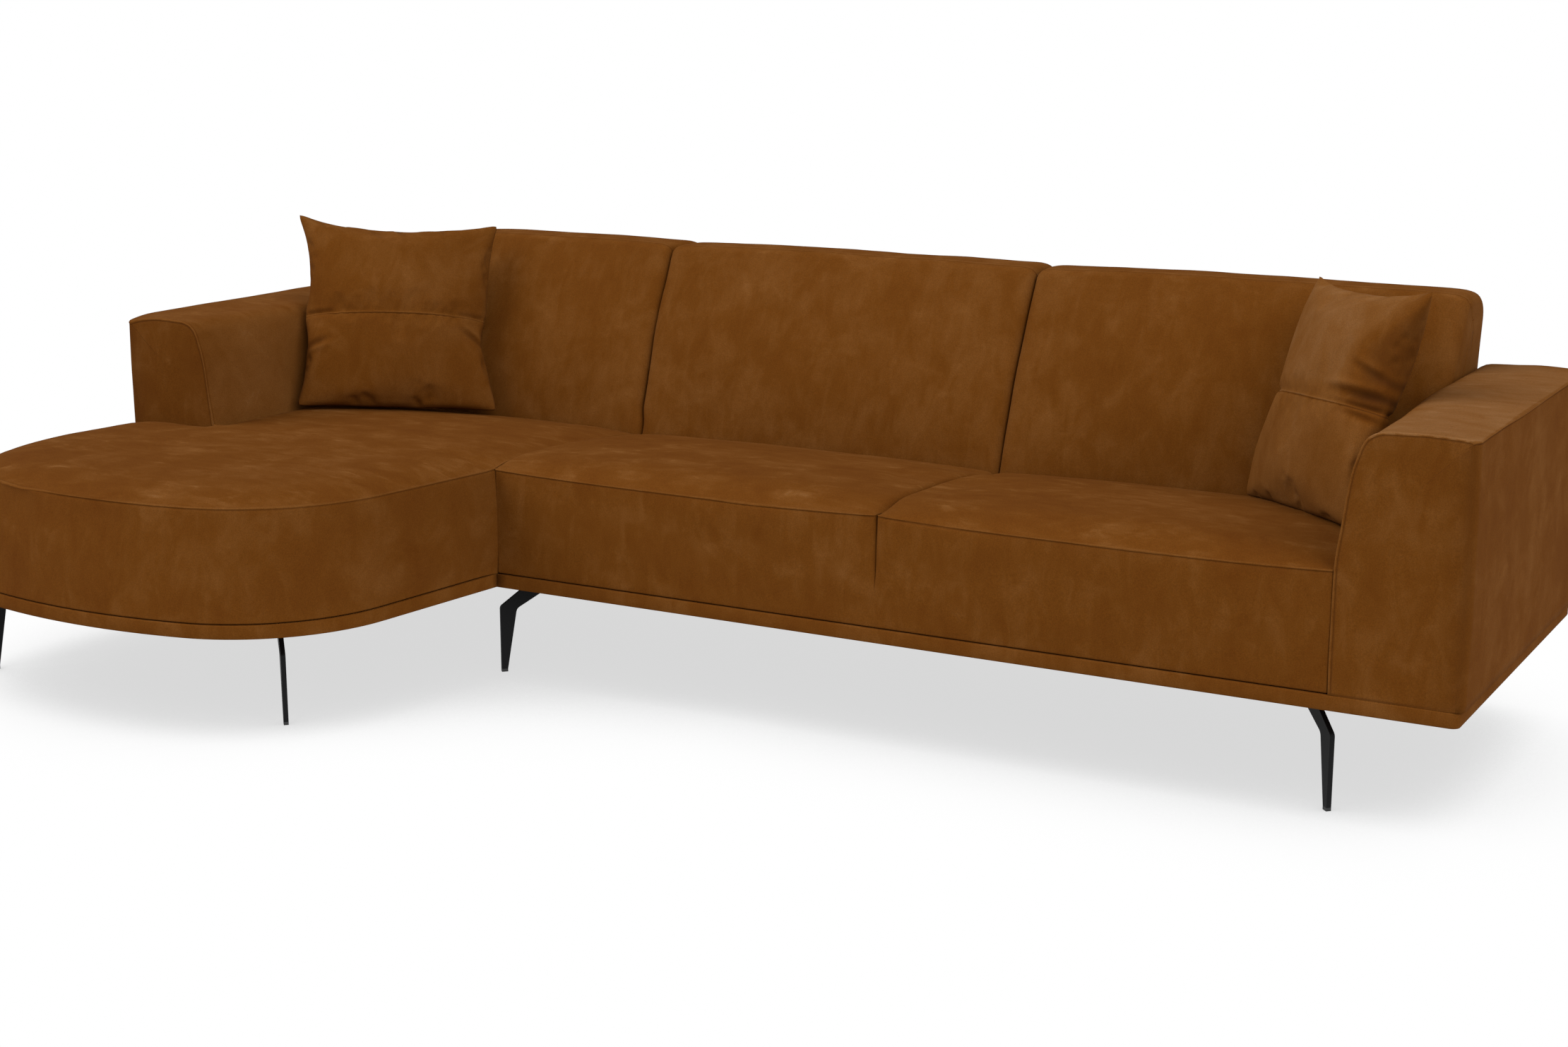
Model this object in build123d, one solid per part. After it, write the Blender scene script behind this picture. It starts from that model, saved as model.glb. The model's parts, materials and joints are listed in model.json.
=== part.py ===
from build123d import *
import math
import os

os.makedirs("parts", exist_ok=True)

# Lounge sofa: a two-seat module on the right and a chaise module with a rounded nose on the left.
# Millimetres. +X to the right as seen from the front, -Y to the front, +Z up, floor at zero.

# Plan sizes
seat_width = 825.0
chaise_seat_width = 709.0
arm_width = 221.0
module_depth = 815.0
seat_depth = 520.0
nose_length = 605.0

# Outline of the chaise nose
nose_overhang = 44.0        # how far the nose reaches past the left arm's outer face
nose_step = 18.0            # how far it already stands out where it meets the arm
nose_shoulder = 200.0       # distance in front of the arm where it reaches its full width
nose_skew = 55.0            # drift of the nose's right side towards the left
nose_bow = 100.0            # bulge of the front line
nose_radius = 310.0         # rounding of the two front corners
shoulder_radius = 300.0     # easing of the bend at the shoulder
nose_front_piece = 300.0    # width of the straightest band piece
nose_lean = 32.0            # seat's edge at the tip, behind the plinth's edge
nose_side_lean = 14.0       # the same at the sides

# Heights of the layers, from the floor up
leg_height = 190.0
plinth_height = 26.0
seat_rail_height = 84.0
wire_diameter = 4.0
felt_thickness = 1.7
rest_gap = 0.3              # clearance where one piece rests on a rounded one

# Plinth frame
plinth_rail_width = 140.0
plinth_corner_radius = 14.0
plinth_side_inset = 9.0     # plinth, in from the arms' outer faces
dust_cover_thickness = 1.0
dust_cover_lap = 12.0

# Seats
border_thickness = 25.0
border_setback = 1.5        # border and cushions stand back from the plinth's edge
rail_thickness = 22.0
cushion_front_height = 115.0
cushion_swell = 17.0        # rise of the seat just behind its front edge
cushion_rake = 16.0         # drop of the seat at the back, below its front edge
cushion_crown = 10.0        # extra height in the middle of the width
cushion_gap = 1.5           # from a cushion's side to its boundary line
chaise_crown = 13.0
back_gap = 0.5              # between a seat cushion and the back behind it
swell_start = 0.08          # share of the seat's depth where the steep rise at its edge ends
swell_top = 0.25            # share of the depth where the seat is highest
swell_fall = 0.56           # share of the depth where it has begun to fall
start_rise = 0.62           # share of the swell reached at the first of these places
fall_rise = 0.68            # share of the swell left at the last of them
edge_crown = 0.15           # share of the crown at the front edge
start_crown = 0.6           # share of the crown just behind it
rear_crown = 0.8            # share of the crown at the back
chaise_swell_lead = 305.0   # the chaise is highest this far in front of the arms

# Springs
spring_pitch = 52.0
spring_half_width = 36.0
spring_seat = 11.0          # spring end, in from the outer face of its rail
seat_spring_count = 4
chaise_spring_count = 4
nose_spring_rail_back = 130.0   # front spring rail, behind the nose's front line
nose_spring_margin = 230.0      # nose springs, in from the nose's sides

# Arms
arm_height = 439.0          # above the plinth
arm_flare = 32.0            # lean of the inner face, outwards at the top
arm_flare_start = 208.0     # height of the straight part of the inner face
arm_inner_radius = 66.0
arm_outer_radius = 11.0
arm_rear_radius = 42.0
arm_bend_radius = 180.0
arm_padding = 20.0
arm_top_padding = 45.0
arm_board = 12.0
arm_frame_width = 142.0

# Backs
back_height = 571.0         # above the plinth, at the middle of a back
back_edge_drop = 11.0       # the top is lower at a back's ends
back_top_depth = 128.0      # top front edge, in front of the rear face
back_face_start = 190.0     # height above the plinth where the front face starts to lean
back_bulge = 22.0
back_edge_bulge = 10.0
back_front_radius = 17.0
back_rear_radius = 46.0
back_end_lean = 0.045       # lean of the ends beside the arms
back_joint_gap = 2.0
back_panel_thickness = 4.0
back_end_padding = 42.0
back_top_padding = 50.0
post_width = 40.0
post_depth = 46.0
back_rail_height = 60.0
strap_thickness = 3.0
strap_height = 60.0
strap_count = 4
back_rail_count = 3
back_shoulder = 0.14        # share of a back's width over which its ends round off
shoulder_drop = 0.25        # share of the edge drop at that place
shoulder_fullness = 0.7     # share of the bulge reached at that place

# Legs
blade_thickness = 9.0
foot_width = 12.5
knee_height = 133.0
knee_width = 33.0
knee_drop = 5.0             # inner side of the knee sits lower than the outer one
arm_start = 70.0            # upper end of the blade, in from its outer edge
arm_end = 131.0
knee_outer_radius = 10.0
knee_inner_radius = 14.0
plate_size = 54.0
plate_thickness = 4.0
plate_reach = 100.0         # plate's middle, in from the blade's outer edge
glide_height = 6.0
screw_spacing = 36.0
screw_radius = 2.2
screw_head_radius = 4.4
screw_head_height = 2.4
screw_length = 18.0         # bite in the plinth
screw_clearance = 0.1
front_foot_inset = 60.0
rear_foot_inset = 20.0
right_foot_inset = 8.0      # right feet, in from the right arm's inner face
joint_foot_reach = 30.0     # feet at the module joint reach past it
nose_foot_inset = 182.0     # nose's front feet, behind its front line
nose_foot_side = 178.0      # nose's right foot, from the module joint
left_foot_inset = 5.0       # left feet, in from the left arm's outer face

# Module bolts
bolt_radius = 4.0
bolt_clearance = 0.5
bolt_head_radius = 7.0
bolt_head_height = 5.0
washer_radius = 9.0
washer_thickness = 1.6
nut_height = 6.5
bolt_tail = 4.0
hexagon_side_count = 6
bolt_inset = 110.0          # bolts, in from the front and from the back of the seat

# Scatter cushions
scatter_width = 424.0
scatter_height = 420.0
scatter_thickness = 132.0
scatter_pinch = 17.0        # how far each side is drawn in
scatter_rim = 1.14          # the crowned faces run out beyond the outline by this ratio
scatter_side_draw = 0.93    # share of the thickness lost towards the sides
scatter_section_count = 7
left_scatter_turn = 39.7
left_scatter_tilt = 23.6
left_scatter_roll = 3.4
left_scatter_from_arm = 151.0
left_scatter_from_front = 431.0
left_scatter_lift = 211.5
right_scatter_turn = -48.3
right_scatter_tilt = 19.4
right_scatter_roll = -4.0
right_scatter_from_arm = 133.5
right_scatter_from_front = 414.0
right_scatter_lift = 207.7

# Derived positions
length = nose_overhang + 2 * arm_width + chaise_seat_width + 2 * seat_width
depth = nose_length + module_depth
x_right = length / 2
x_arm_right = x_right - arm_width
x_split = x_arm_right - seat_width
x_joint = x_split - seat_width
x_arm_left = x_joint - chaise_seat_width
x_left = x_arm_left - arm_width
x_nose = x_left - nose_overhang
y_rear = depth / 2
y_front = y_rear - module_depth
y_nose = y_front - nose_length
y_back = y_front + seat_depth
y_side = y_front - nose_shoulder
z_plinth = leg_height
z_base = z_plinth + plinth_height
z_rail = z_base + seat_rail_height
z_felt = z_rail + wire_diameter + 2 * rest_gap
z_cushion = z_felt + felt_thickness
z_seam = z_cushion + cushion_front_height
z_arm = z_base + arm_height
z_back = z_base + back_height
x_plinth_right = x_right - plinth_side_inset
x_plinth_left = x_left + plinth_side_inset
cut_over = 5.0              # cutting bodies run past the faces they open


def block(x0, x1, y0, y1, z0, z1):
    """Box between two corners."""
    middle = Pos((x0 + x1) / 2, (y0 + y1) / 2, (z0 + z1) / 2)
    return middle * Box(x1 - x0, y1 - y0, z1 - z0)


def solids_of(shapes):
    """Separate solids of a list of shapes."""
    found = []
    for shape in shapes:
        found.extend(shape.solids())
    return found


def save(name, shapes):
    """One file per node, each piece its own solid."""
    found = solids_of(shapes)
    group = found[0] if len(found) == 1 else Compound(found)
    export_step(group, "parts/" + name + ".step")


def rounded(face, point, radius):
    """Face with the corner nearest to a point rounded."""
    corner = face.vertices().sort_by_distance(point)[0]
    return fillet(corner, radius)


# Chaise nose: one outline, drawn in by an inset, serves plinth, rails, border, felt and cushion
def nose_face(inset, lean=0.0):
    """Plan of the nose with the seat behind it; lean is the share by which its edge stands back."""
    tail = y_back - back_gap
    y_tip = y_nose + lean * nose_lean
    y_corner = y_tip + nose_bow
    right_corner = (x_joint - nose_skew - lean * nose_side_lean, y_corner)
    left_corner = (x_nose + lean * nose_side_lean, y_corner)
    shoulder = (x_nose + lean * nose_side_lean / 2, y_side)
    middle = ((right_corner[0] + left_corner[0]) / 2, y_tip)
    sides = Polyline(
        left_corner,
        shoulder,
        (x_left - nose_step, y_front),
        (x_left - nose_step, tail),
        (x_joint, tail),
        (x_joint, y_front),
        right_corner,
    )
    face = make_face(sides.edges() + [ThreePointArc(right_corner, middle, left_corner)])
    face = rounded(face, right_corner, nose_radius)
    face = rounded(face, left_corner, nose_radius)
    face = rounded(face, shoulder, shoulder_radius)
    if inset > 0:
        face = offset(face, amount=-inset, kind=Kind.INTERSECTION)
    return face


def nose_solid(inset, z0, z1, y0, y1):
    """Nose outline raised between two heights and kept between two depths."""
    body = Pos(0, 0, z0) * extrude(nose_face(inset), amount=z1 - z0)
    keep = block(x_nose - cut_over, x_joint + cut_over, y0, y1, z0 - cut_over, z1 + cut_over)
    return body & keep


def leaning_nose(z0, z1):
    """Nose and seat inside the cover's wall, which leans back towards the top."""
    plans = []
    for z in (z0, z1):
        lean = (z - z_base) / (z_seam - z_base)
        plans.append(Pos(0, 0, z) * nose_face(border_setback, lean).face())
    return loft(plans, ruled=True)


def nose_pieces(band, z0, z1):
    """Band along the nose's wall, cut into five pieces."""
    middle = (x_nose + x_joint - nose_skew) / 2
    low = middle - nose_front_piece / 2
    high = middle + nose_front_piece / 2
    x_ends = (x_nose - cut_over, x_joint + cut_over)
    y_start = y_nose - cut_over
    zone = (z0 - cut_over, z1 + cut_over)
    pieces = [
        band & block(middle, x_ends[1], y_side, y_front, *zone),
        band & block(high, x_ends[1], y_start, y_side, *zone),
        band & block(low, high, y_start, y_side, *zone),
        band & block(x_ends[0], low, y_start, y_side, *zone),
        band & block(x_ends[0], middle, y_side, y_front, *zone),
    ]
    return solids_of(pieces)


def nose_band(outer_inset, inner_inset, z0, z1):
    """Upright band along the nose's wall, in five pieces."""
    plan = nose_face(outer_inset) - nose_face(inner_inset)
    return nose_pieces(Pos(0, 0, z0) * extrude(plan, amount=z1 - z0), z0, z1)


# Legs: bent flat blades that point outwards along the diagonals, welded to a square plate
leg_places = {
    "sofa_leg_front_right": (x_arm_right - right_foot_inset, y_front + front_foot_inset, 1, -1),
    "sofa_leg_rear_right": (x_arm_right - right_foot_inset, y_rear - rear_foot_inset, 1, 1),
    "sofa_leg_front_left": (x_joint - joint_foot_reach, y_front + front_foot_inset, -1, -1),
    "sofa_leg_rear_left": (x_joint - joint_foot_reach, y_rear - rear_foot_inset, -1, 1),
    "chaise_leg_front_right": (x_joint - nose_foot_side, y_nose + nose_foot_inset, 1, -1),
    "chaise_leg_front_left": (x_left + left_foot_inset, y_nose + nose_foot_inset, -1, -1),
    "chaise_leg_rear_left": (x_left + left_foot_inset, y_rear - rear_foot_inset, -1, 1),
    "chaise_leg_rear_right": (x_joint - nose_foot_side, y_rear - rear_foot_inset, 1, 1),
}
plate_shift = (plate_reach - foot_width / 2) * math.sqrt(0.5)


def plate_middle(place):
    """Middle of a leg's plate, inwards of its foot."""
    foot_x, foot_y, out_x, out_y = place
    return foot_x - out_x * plate_shift, foot_y - out_y * plate_shift


def screw_points(place):
    """The four screws of a leg's plate."""
    middle_x, middle_y = plate_middle(place)
    reach = screw_spacing * math.sqrt(0.5)
    steps = [(reach, 0), (0, reach), (-reach, 0), (0, -reach)]
    return [(middle_x + step_x, middle_y + step_y) for step_x, step_y in steps]


def leg(place):
    """Blade and plate of one leg."""
    middle_x, middle_y = plate_middle(place)
    turn = math.degrees(math.atan2(place[3], place[2]))
    top = z_plinth - plate_thickness
    outer_knee = (plate_reach, knee_height)
    inner_knee = (plate_reach - knee_width, knee_height - knee_drop)
    side = make_face(
        Polyline(
            (plate_reach, glide_height),
            outer_knee,
            (plate_reach - arm_start, top),
            (plate_reach - arm_end, top),
            inner_knee,
            (plate_reach - foot_width, glide_height),
            close=True,
        )
    )
    side = rounded(side, outer_knee, knee_outer_radius)
    side = rounded(side, inner_knee, knee_inner_radius)
    blade = Rot(90, 0, 0) * extrude(side, amount=blade_thickness / 2, both=True)
    plate = Pos(0, 0, top + plate_thickness / 2) * Box(plate_size, plate_size, plate_thickness)
    hole_length = 2 * (plate_thickness + cut_over)
    holes = [
        Pos(x - middle_x, y - middle_y, top) * Cylinder(screw_radius + screw_clearance, hole_length)
        for x, y in screw_points(place)
    ]
    turned = Rot(0, 0, turn) * (blade + plate)
    return Pos(middle_x, middle_y, 0) * (turned - holes)


def glide(place):
    """Plastic foot under a blade."""
    turn = math.degrees(math.atan2(place[3], place[2]))
    body = Box(foot_width, blade_thickness, glide_height)
    return Pos(place[0], place[1], glide_height / 2) * Rot(0, 0, turn) * body


def screw(x, y):
    """Pan head screw through a leg's plate into the plinth."""
    under = z_plinth - plate_thickness
    reach = plate_thickness + screw_length
    head = Pos(x, y, under - screw_head_height / 2) * Cylinder(screw_head_radius, screw_head_height)
    shank = Pos(x, y, under + reach / 2) * Cylinder(screw_radius, reach)
    return head + shank


for name, place in leg_places.items():
    save(name, [leg(place)])
save("leg_glides", [glide(place) for place in leg_places.values()])
all_screws = [point for place in leg_places.values() for point in screw_points(place)]
save("leg_screws", [screw(x, y) for x, y in all_screws])


# Plinth frames: flat boards wrapped in the cover fabric
pilot_holes = [
    Pos(x, y, z_plinth + screw_length / 2)
    * Cylinder(screw_radius + screw_clearance, screw_length + 2 * rest_gap)
    for x, y in all_screws
]


def drilled(boards):
    """Boards with the leg screws' pilot holes."""
    return [board - pilot_holes for board in boards]


def plinth_board(x0, x1, y0, y1):
    """Board of a plinth frame."""
    return block(x0, x1, y0, y1, z_plinth, z_base)


y_inner_front = y_front + plinth_rail_width
y_inner_rear = y_rear - plinth_rail_width
x_left_rail = x_joint + plinth_rail_width
x_arm_rail = x_arm_right - plinth_rail_width
x_right_rail = x_plinth_right - plinth_rail_width
x_middle_rail = (x_split - plinth_rail_width / 2, x_split + plinth_rail_width / 2)


def end_board(y0, y1, y_corner):
    """Front or rear board of the two-seat module, rounded at its outer corner."""
    plan = make_face(
        Polyline(
            (x_joint, y0),
            (x_plinth_right, y0),
            (x_plinth_right, y1),
            (x_joint, y1),
            close=True,
        )
    )
    plan = rounded(plan, (x_plinth_right, y_corner), plinth_corner_radius)
    return Pos(0, 0, z_plinth) * extrude(plan, amount=plinth_height)


sofa_plinth = [
    end_board(y_front, y_inner_front, y_front),
    end_board(y_inner_rear, y_rear, y_rear),
    plinth_board(x_joint, x_left_rail, y_inner_front, y_inner_rear),
    plinth_board(*x_middle_rail, y_inner_front, y_inner_rear),
    plinth_board(x_arm_rail, x_arm_right, y_inner_front, y_inner_rear),
    plinth_board(x_right_rail, x_plinth_right, y_inner_front, y_inner_rear),
]
save("sofa_plinth", drilled(sofa_plinth))

cross_middle = plate_middle(leg_places["chaise_leg_front_right"])[1]
cross_front = cross_middle - plinth_rail_width / 2
cross_rear = cross_middle + plinth_rail_width / 2
x_chaise_left = x_plinth_left + plinth_rail_width
x_chaise_right = x_joint - plinth_rail_width
chaise_plinth = nose_band(0, plinth_rail_width, z_plinth, z_base)
chaise_plinth += [
    nose_solid(plinth_rail_width, z_plinth, z_base, cross_front, cross_rear),
    plinth_board(x_plinth_left, x_chaise_left, y_front, y_inner_rear),
    plinth_board(x_chaise_right, x_joint, y_front, y_inner_rear),
    plinth_board(x_plinth_left, x_joint, y_inner_rear, y_rear),
]
save("chaise_plinth", drilled(chaise_plinth))


# Dust covers below the openings of the plinth frames
def cover_sheet(x0, x1):
    """Sheet over one opening of the two-seat module's plinth."""
    return block(
        x0 - dust_cover_lap,
        x1 + dust_cover_lap,
        y_inner_front - dust_cover_lap,
        y_inner_rear + dust_cover_lap,
        z_plinth - dust_cover_thickness,
        z_plinth,
    )


save(
    "sofa_dust_cover",
    [
        cover_sheet(x_left_rail, x_middle_rail[0]),
        cover_sheet(x_middle_rail[1], x_arm_rail),
        cover_sheet(x_arm_right, x_right_rail),
    ],
)
cover_inset = plinth_rail_width - dust_cover_lap
z_cover = (z_plinth - dust_cover_thickness, z_plinth)
rear_cover = block(
    x_chaise_left - dust_cover_lap,
    x_chaise_right + dust_cover_lap,
    y_front,
    y_inner_rear + dust_cover_lap,
    *z_cover,
)
front_cover = nose_solid(cover_inset, *z_cover, y_nose, cross_front + dust_cover_lap)
rear_cover = rear_cover + nose_solid(cover_inset, *z_cover, cross_rear - dust_cover_lap, y_front)
save("chaise_dust_cover", [front_cover, rear_cover])


# Seat rails stand on the plinth; the two modules are bolted together through their side rails
def seat_rail(x0, x1, y0, y1):
    """Board on edge between the plinth and the springs."""
    return block(x0, x1, y0, y1, z_base, z_rail)


y_rail_front = y_front + border_thickness
y_rail_inner = y_rail_front + rail_thickness
y_rail_rear = y_back - rail_thickness
bolt_places = [y_rail_front + bolt_inset, y_back - bolt_inset]
z_bolt = (z_base + z_rail) / 2


def along_x(x, y, radius, reach):
    """Round bar from a point towards +X at the bolts' height."""
    return Pos(x + reach / 2, y, z_bolt) * Rot(0, 90, 0) * Cylinder(radius, reach)


bolt_start = x_joint - rail_thickness
bolt_holes = [along_x(bolt_start, y, bolt_radius + bolt_clearance, 2 * rail_thickness) for y in bolt_places]
sofa_left_rail = seat_rail(x_joint, x_joint + rail_thickness, y_rail_inner, y_rail_rear) - bolt_holes
sofa_rails = [
    seat_rail(x_joint, x_arm_right, y_rail_front, y_rail_inner),
    seat_rail(x_joint, x_arm_right, y_rail_rear, y_back),
    sofa_left_rail,
    seat_rail(x_split - rail_thickness / 2, x_split + rail_thickness / 2, y_rail_inner, y_rail_rear),
    seat_rail(x_arm_right - rail_thickness, x_arm_right, y_rail_inner, y_rail_rear),
]
save("sofa_seat_rails", sofa_rails)

rail_inset = border_thickness + rail_thickness
y_cross = y_front + rail_thickness
chaise_right_rail = seat_rail(x_joint - rail_thickness, x_joint, y_cross, y_rail_rear) - bolt_holes
y_spring_rail = y_nose + nose_spring_rail_back
chaise_rails = nose_band(border_thickness, rail_inset, z_base, z_rail)
chaise_rails += [
    nose_solid(rail_inset, z_base, z_rail, y_spring_rail, y_spring_rail + rail_thickness),
    seat_rail(x_arm_left, x_joint, y_front, y_cross),
    seat_rail(x_arm_left, x_arm_left + rail_thickness, y_cross, y_rail_rear),
    chaise_right_rail,
    seat_rail(x_arm_left, x_joint, y_rail_rear, y_back),
]
save("chaise_seat_rails", chaise_rails)

shank_reach = 2 * rail_thickness + 2 * washer_thickness + nut_height + bolt_tail
x_nut = x_joint + rail_thickness
bolts = []
nuts = []
for y in bolt_places:
    x_head = bolt_start - washer_thickness - bolt_head_height
    hexagon = extrude(RegularPolygon(bolt_head_radius, hexagon_side_count), amount=bolt_head_height)
    head = Pos(x_head, y, z_bolt) * Rot(0, 90, 0) * hexagon
    bolts.append(head + along_x(bolt_start - washer_thickness, y, bolt_radius, shank_reach))
    bore = along_x(bolt_start - cut_over, y, bolt_radius + rest_gap, shank_reach + cut_over)
    nut_body = extrude(RegularPolygon(bolt_head_radius, hexagon_side_count), amount=nut_height)
    nuts.append(Pos(x_nut + washer_thickness, y, z_bolt) * Rot(0, 90, 0) * nut_body - bore)
    nuts.append(along_x(x_nut, y, washer_radius, washer_thickness) - bore)
    nuts.append(along_x(bolt_start - washer_thickness, y, washer_radius, washer_thickness) - bore)
save("module_bolts", bolts)
save("module_nuts", nuts)


# Zigzag springs from rail to rail, with half round turns
def spring(x, y0, y1):
    """Flat zigzag wire from front to back."""
    turns = round((y1 - y0) / spring_pitch)
    pitch = (y1 - y0) / turns
    half = spring_half_width - pitch / 2
    z = z_rail + wire_diameter / 2 + rest_gap
    edges = []
    for k in range(turns + 1):
        side = 1 if k % 2 == 0 else -1
        y = y0 + k * pitch
        edges.append(Line((x - side * half, y, z), (x + side * half, y, z)))
        if k < turns:
            edge_x = x + side * half
            tip = (x + side * (half + pitch / 2), y + pitch / 2, z)
            edges.append(ThreePointArc((edge_x, y, z), tip, (edge_x, y + pitch, z)))
    path = Wire(edges)
    start = Plane(origin=(x - half, y0, z), z_dir=(1, 0, 0))
    return sweep(start * Circle(wire_diameter / 2), path=path)


def spring_row(x0, x1, y0, y1, count):
    """Springs spread evenly over a width."""
    step = (x1 - x0) / count
    return [spring(x0 + (k + 0.5) * step, y0, y1) for k in range(count)]


y_spring_front = y_rail_front + spring_seat
y_spring_rear = y_back - spring_seat
sofa_springs = spring_row(x_joint, x_split, y_spring_front, y_spring_rear, seat_spring_count)
sofa_springs += spring_row(x_split, x_arm_right, y_spring_front, y_spring_rear, seat_spring_count)
save("sofa_seat_springs", sofa_springs)
y_cross_middle = y_front + rail_thickness / 2
y_nose_spring = y_spring_rail + rail_thickness / 2
chaise_springs = spring_row(
    x_arm_left, x_joint, y_cross_middle + spring_seat / 2, y_spring_rear, chaise_spring_count
)
chaise_springs += spring_row(
    x_nose + nose_spring_margin,
    x_joint - nose_skew - nose_spring_margin,
    y_nose_spring,
    y_cross_middle - spring_seat / 2,
    chaise_spring_count,
)
save("chaise_seat_springs", chaise_springs)

# Felt pads between springs and cushions
felt = (z_felt, z_cushion)
save("sofa_felt_pad", [block(x_joint, x_arm_right, y_rail_front, y_back, *felt)])
chaise_felt = block(x_arm_left, x_joint, y_front, y_back, *felt)
chaise_felt = chaise_felt + nose_solid(border_thickness, *felt, y_nose, y_front)
save("chaise_felt_pad", [chaise_felt])

# Padded borders below the seat cushions
border_front = y_front + border_setback
sofa_border = block(x_joint, x_arm_right, border_front, y_rail_front, z_base, z_cushion)
save("sofa_seat_border", [sofa_border])
inner_wall = extrude(nose_face(border_thickness), amount=z_cushion + cut_over)
chaise_border = leaning_nose(z_base, z_cushion) - inner_wall
save("chaise_seat_border", nose_pieces(chaise_border, z_base, z_cushion))


# Seat cushions: crowned across the width, swelling behind the front edge, raked to the back
def cushion_section(x0, x1, y, rise, crown):
    """Cross section of a seat cushion at one depth."""
    z_edge = z_seam + rise
    middle = (x0 + x1) / 2
    edges = [
        Line((x0, y, z_cushion), (x1, y, z_cushion)),
        Line((x1, y, z_cushion), (x1, y, z_edge)),
        ThreePointArc((x1, y, z_edge), (middle, y, z_edge + crown), (x0, y, z_edge)),
        Line((x0, y, z_edge), (x0, y, z_cushion)),
    ]
    return Face(Wire(edges))


def cushion_body(x0, x1, y0, y_top, crown):
    """Loft of a seat cushion from its front edge to the back, highest at y_top."""
    y_start = y0 + seat_depth * swell_start
    y_fall = y_front + seat_depth * swell_fall
    stations = [
        (y0, 0.0, edge_crown),
        (y_start, start_rise * cushion_swell, start_crown),
        (y_top, cushion_swell, 1.0),
        (y_fall, fall_rise * cushion_swell, 1.0),
        (y_back - back_gap, -cushion_rake, rear_crown),
    ]
    return loft([cushion_section(x0, x1, y, rise, share * crown) for y, rise, share in stations])


y_swell = y_front + seat_depth * swell_top
middle_ends = (x_joint + cushion_gap, x_split - cushion_gap)
right_ends = (x_split + cushion_gap, x_arm_right - cushion_gap)
save("seat_cushion_middle", [cushion_body(*middle_ends, border_front, y_swell, cushion_crown)])
save("seat_cushion_right", [cushion_body(*right_ends, border_front, y_swell, cushion_crown)])

chaise_top = z_seam + cushion_swell + chaise_crown + cut_over
arm_space = block(
    x_nose - cut_over,
    x_arm_left + cushion_gap,
    y_front,
    y_back,
    z_cushion - cut_over,
    chaise_top + cut_over,
)
chaise_form = leaning_nose(z_cushion, chaise_top) - arm_space
chaise_ends = (x_nose - cut_over, x_joint)
chaise_dome = cushion_body(*chaise_ends, y_nose, y_front - chaise_swell_lead, chaise_crown)
save("chaise_cushion", [chaise_form & chaise_dome])


# Arms: padded hood with a flared inner face over a board frame
def arm_parts(x_outer, inward):
    """Padding and boards of one arm; inward is the direction from the outer face."""
    flare_z = z_base + arm_flare_start
    outer_top = (x_outer, z_arm)
    inner_top = (x_outer + inward * (arm_width - arm_flare), z_arm)
    bend = (x_outer + inward * arm_width, flare_z)
    profile = make_face(
        Polyline(
            (x_outer, z_base),
            outer_top,
            inner_top,
            bend,
            (x_outer + inward * arm_width, z_base),
            close=True,
        )
    )
    profile = rounded(profile, outer_top, arm_outer_radius)
    profile = rounded(profile, inner_top, arm_inner_radius)
    profile = rounded(profile, bend, arm_bend_radius)
    body = Pos(0, y_rear, 0) * Rot(90, 0, 0) * extrude(profile, amount=module_depth)
    side = make_face(
        Polyline(
            (y_front, z_base),
            (y_rear, z_base),
            (y_rear, z_arm),
            (y_front, z_arm),
            close=True,
        )
    )
    side = rounded(side, (y_rear, z_arm), arm_rear_radius)
    low = min(x_outer, x_outer + inward * arm_width)
    hood = Plane(origin=(low - cut_over, 0, 0), x_dir=(0, 1, 0), z_dir=(1, 0, 0)) * side
    body = body & extrude(hood, amount=arm_width + 2 * cut_over)

    ends = sorted((x_outer + inward * arm_padding, x_outer + inward * (arm_padding + arm_frame_width)))
    y0 = y_front + arm_padding
    y1 = y_rear - arm_padding
    z1 = z_arm - arm_top_padding
    padding = body - block(*ends, y0, y1, z_base - cut_over, z1)
    boards = [
        block(*ends, y0, y0 + arm_board, z_base, z1 - arm_board),
        block(*ends, y1 - arm_board, y1, z_base, z1 - arm_board),
        block(ends[0], ends[0] + arm_board, y0 + arm_board, y1 - arm_board, z_base, z1 - arm_board),
        block(ends[1] - arm_board, ends[1], y0 + arm_board, y1 - arm_board, z_base, z1 - arm_board),
        block(*ends, y0, y1, z1 - arm_board, z1),
    ]
    return padding, boards


right_padding, right_boards = arm_parts(x_right, -1)
left_padding, left_boards = arm_parts(x_left, 1)
save("right_arm_pad", [right_padding])
save("right_arm_frame", right_boards)
save("left_arm_pad", [left_padding])
save("left_arm_frame", left_boards)


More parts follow.
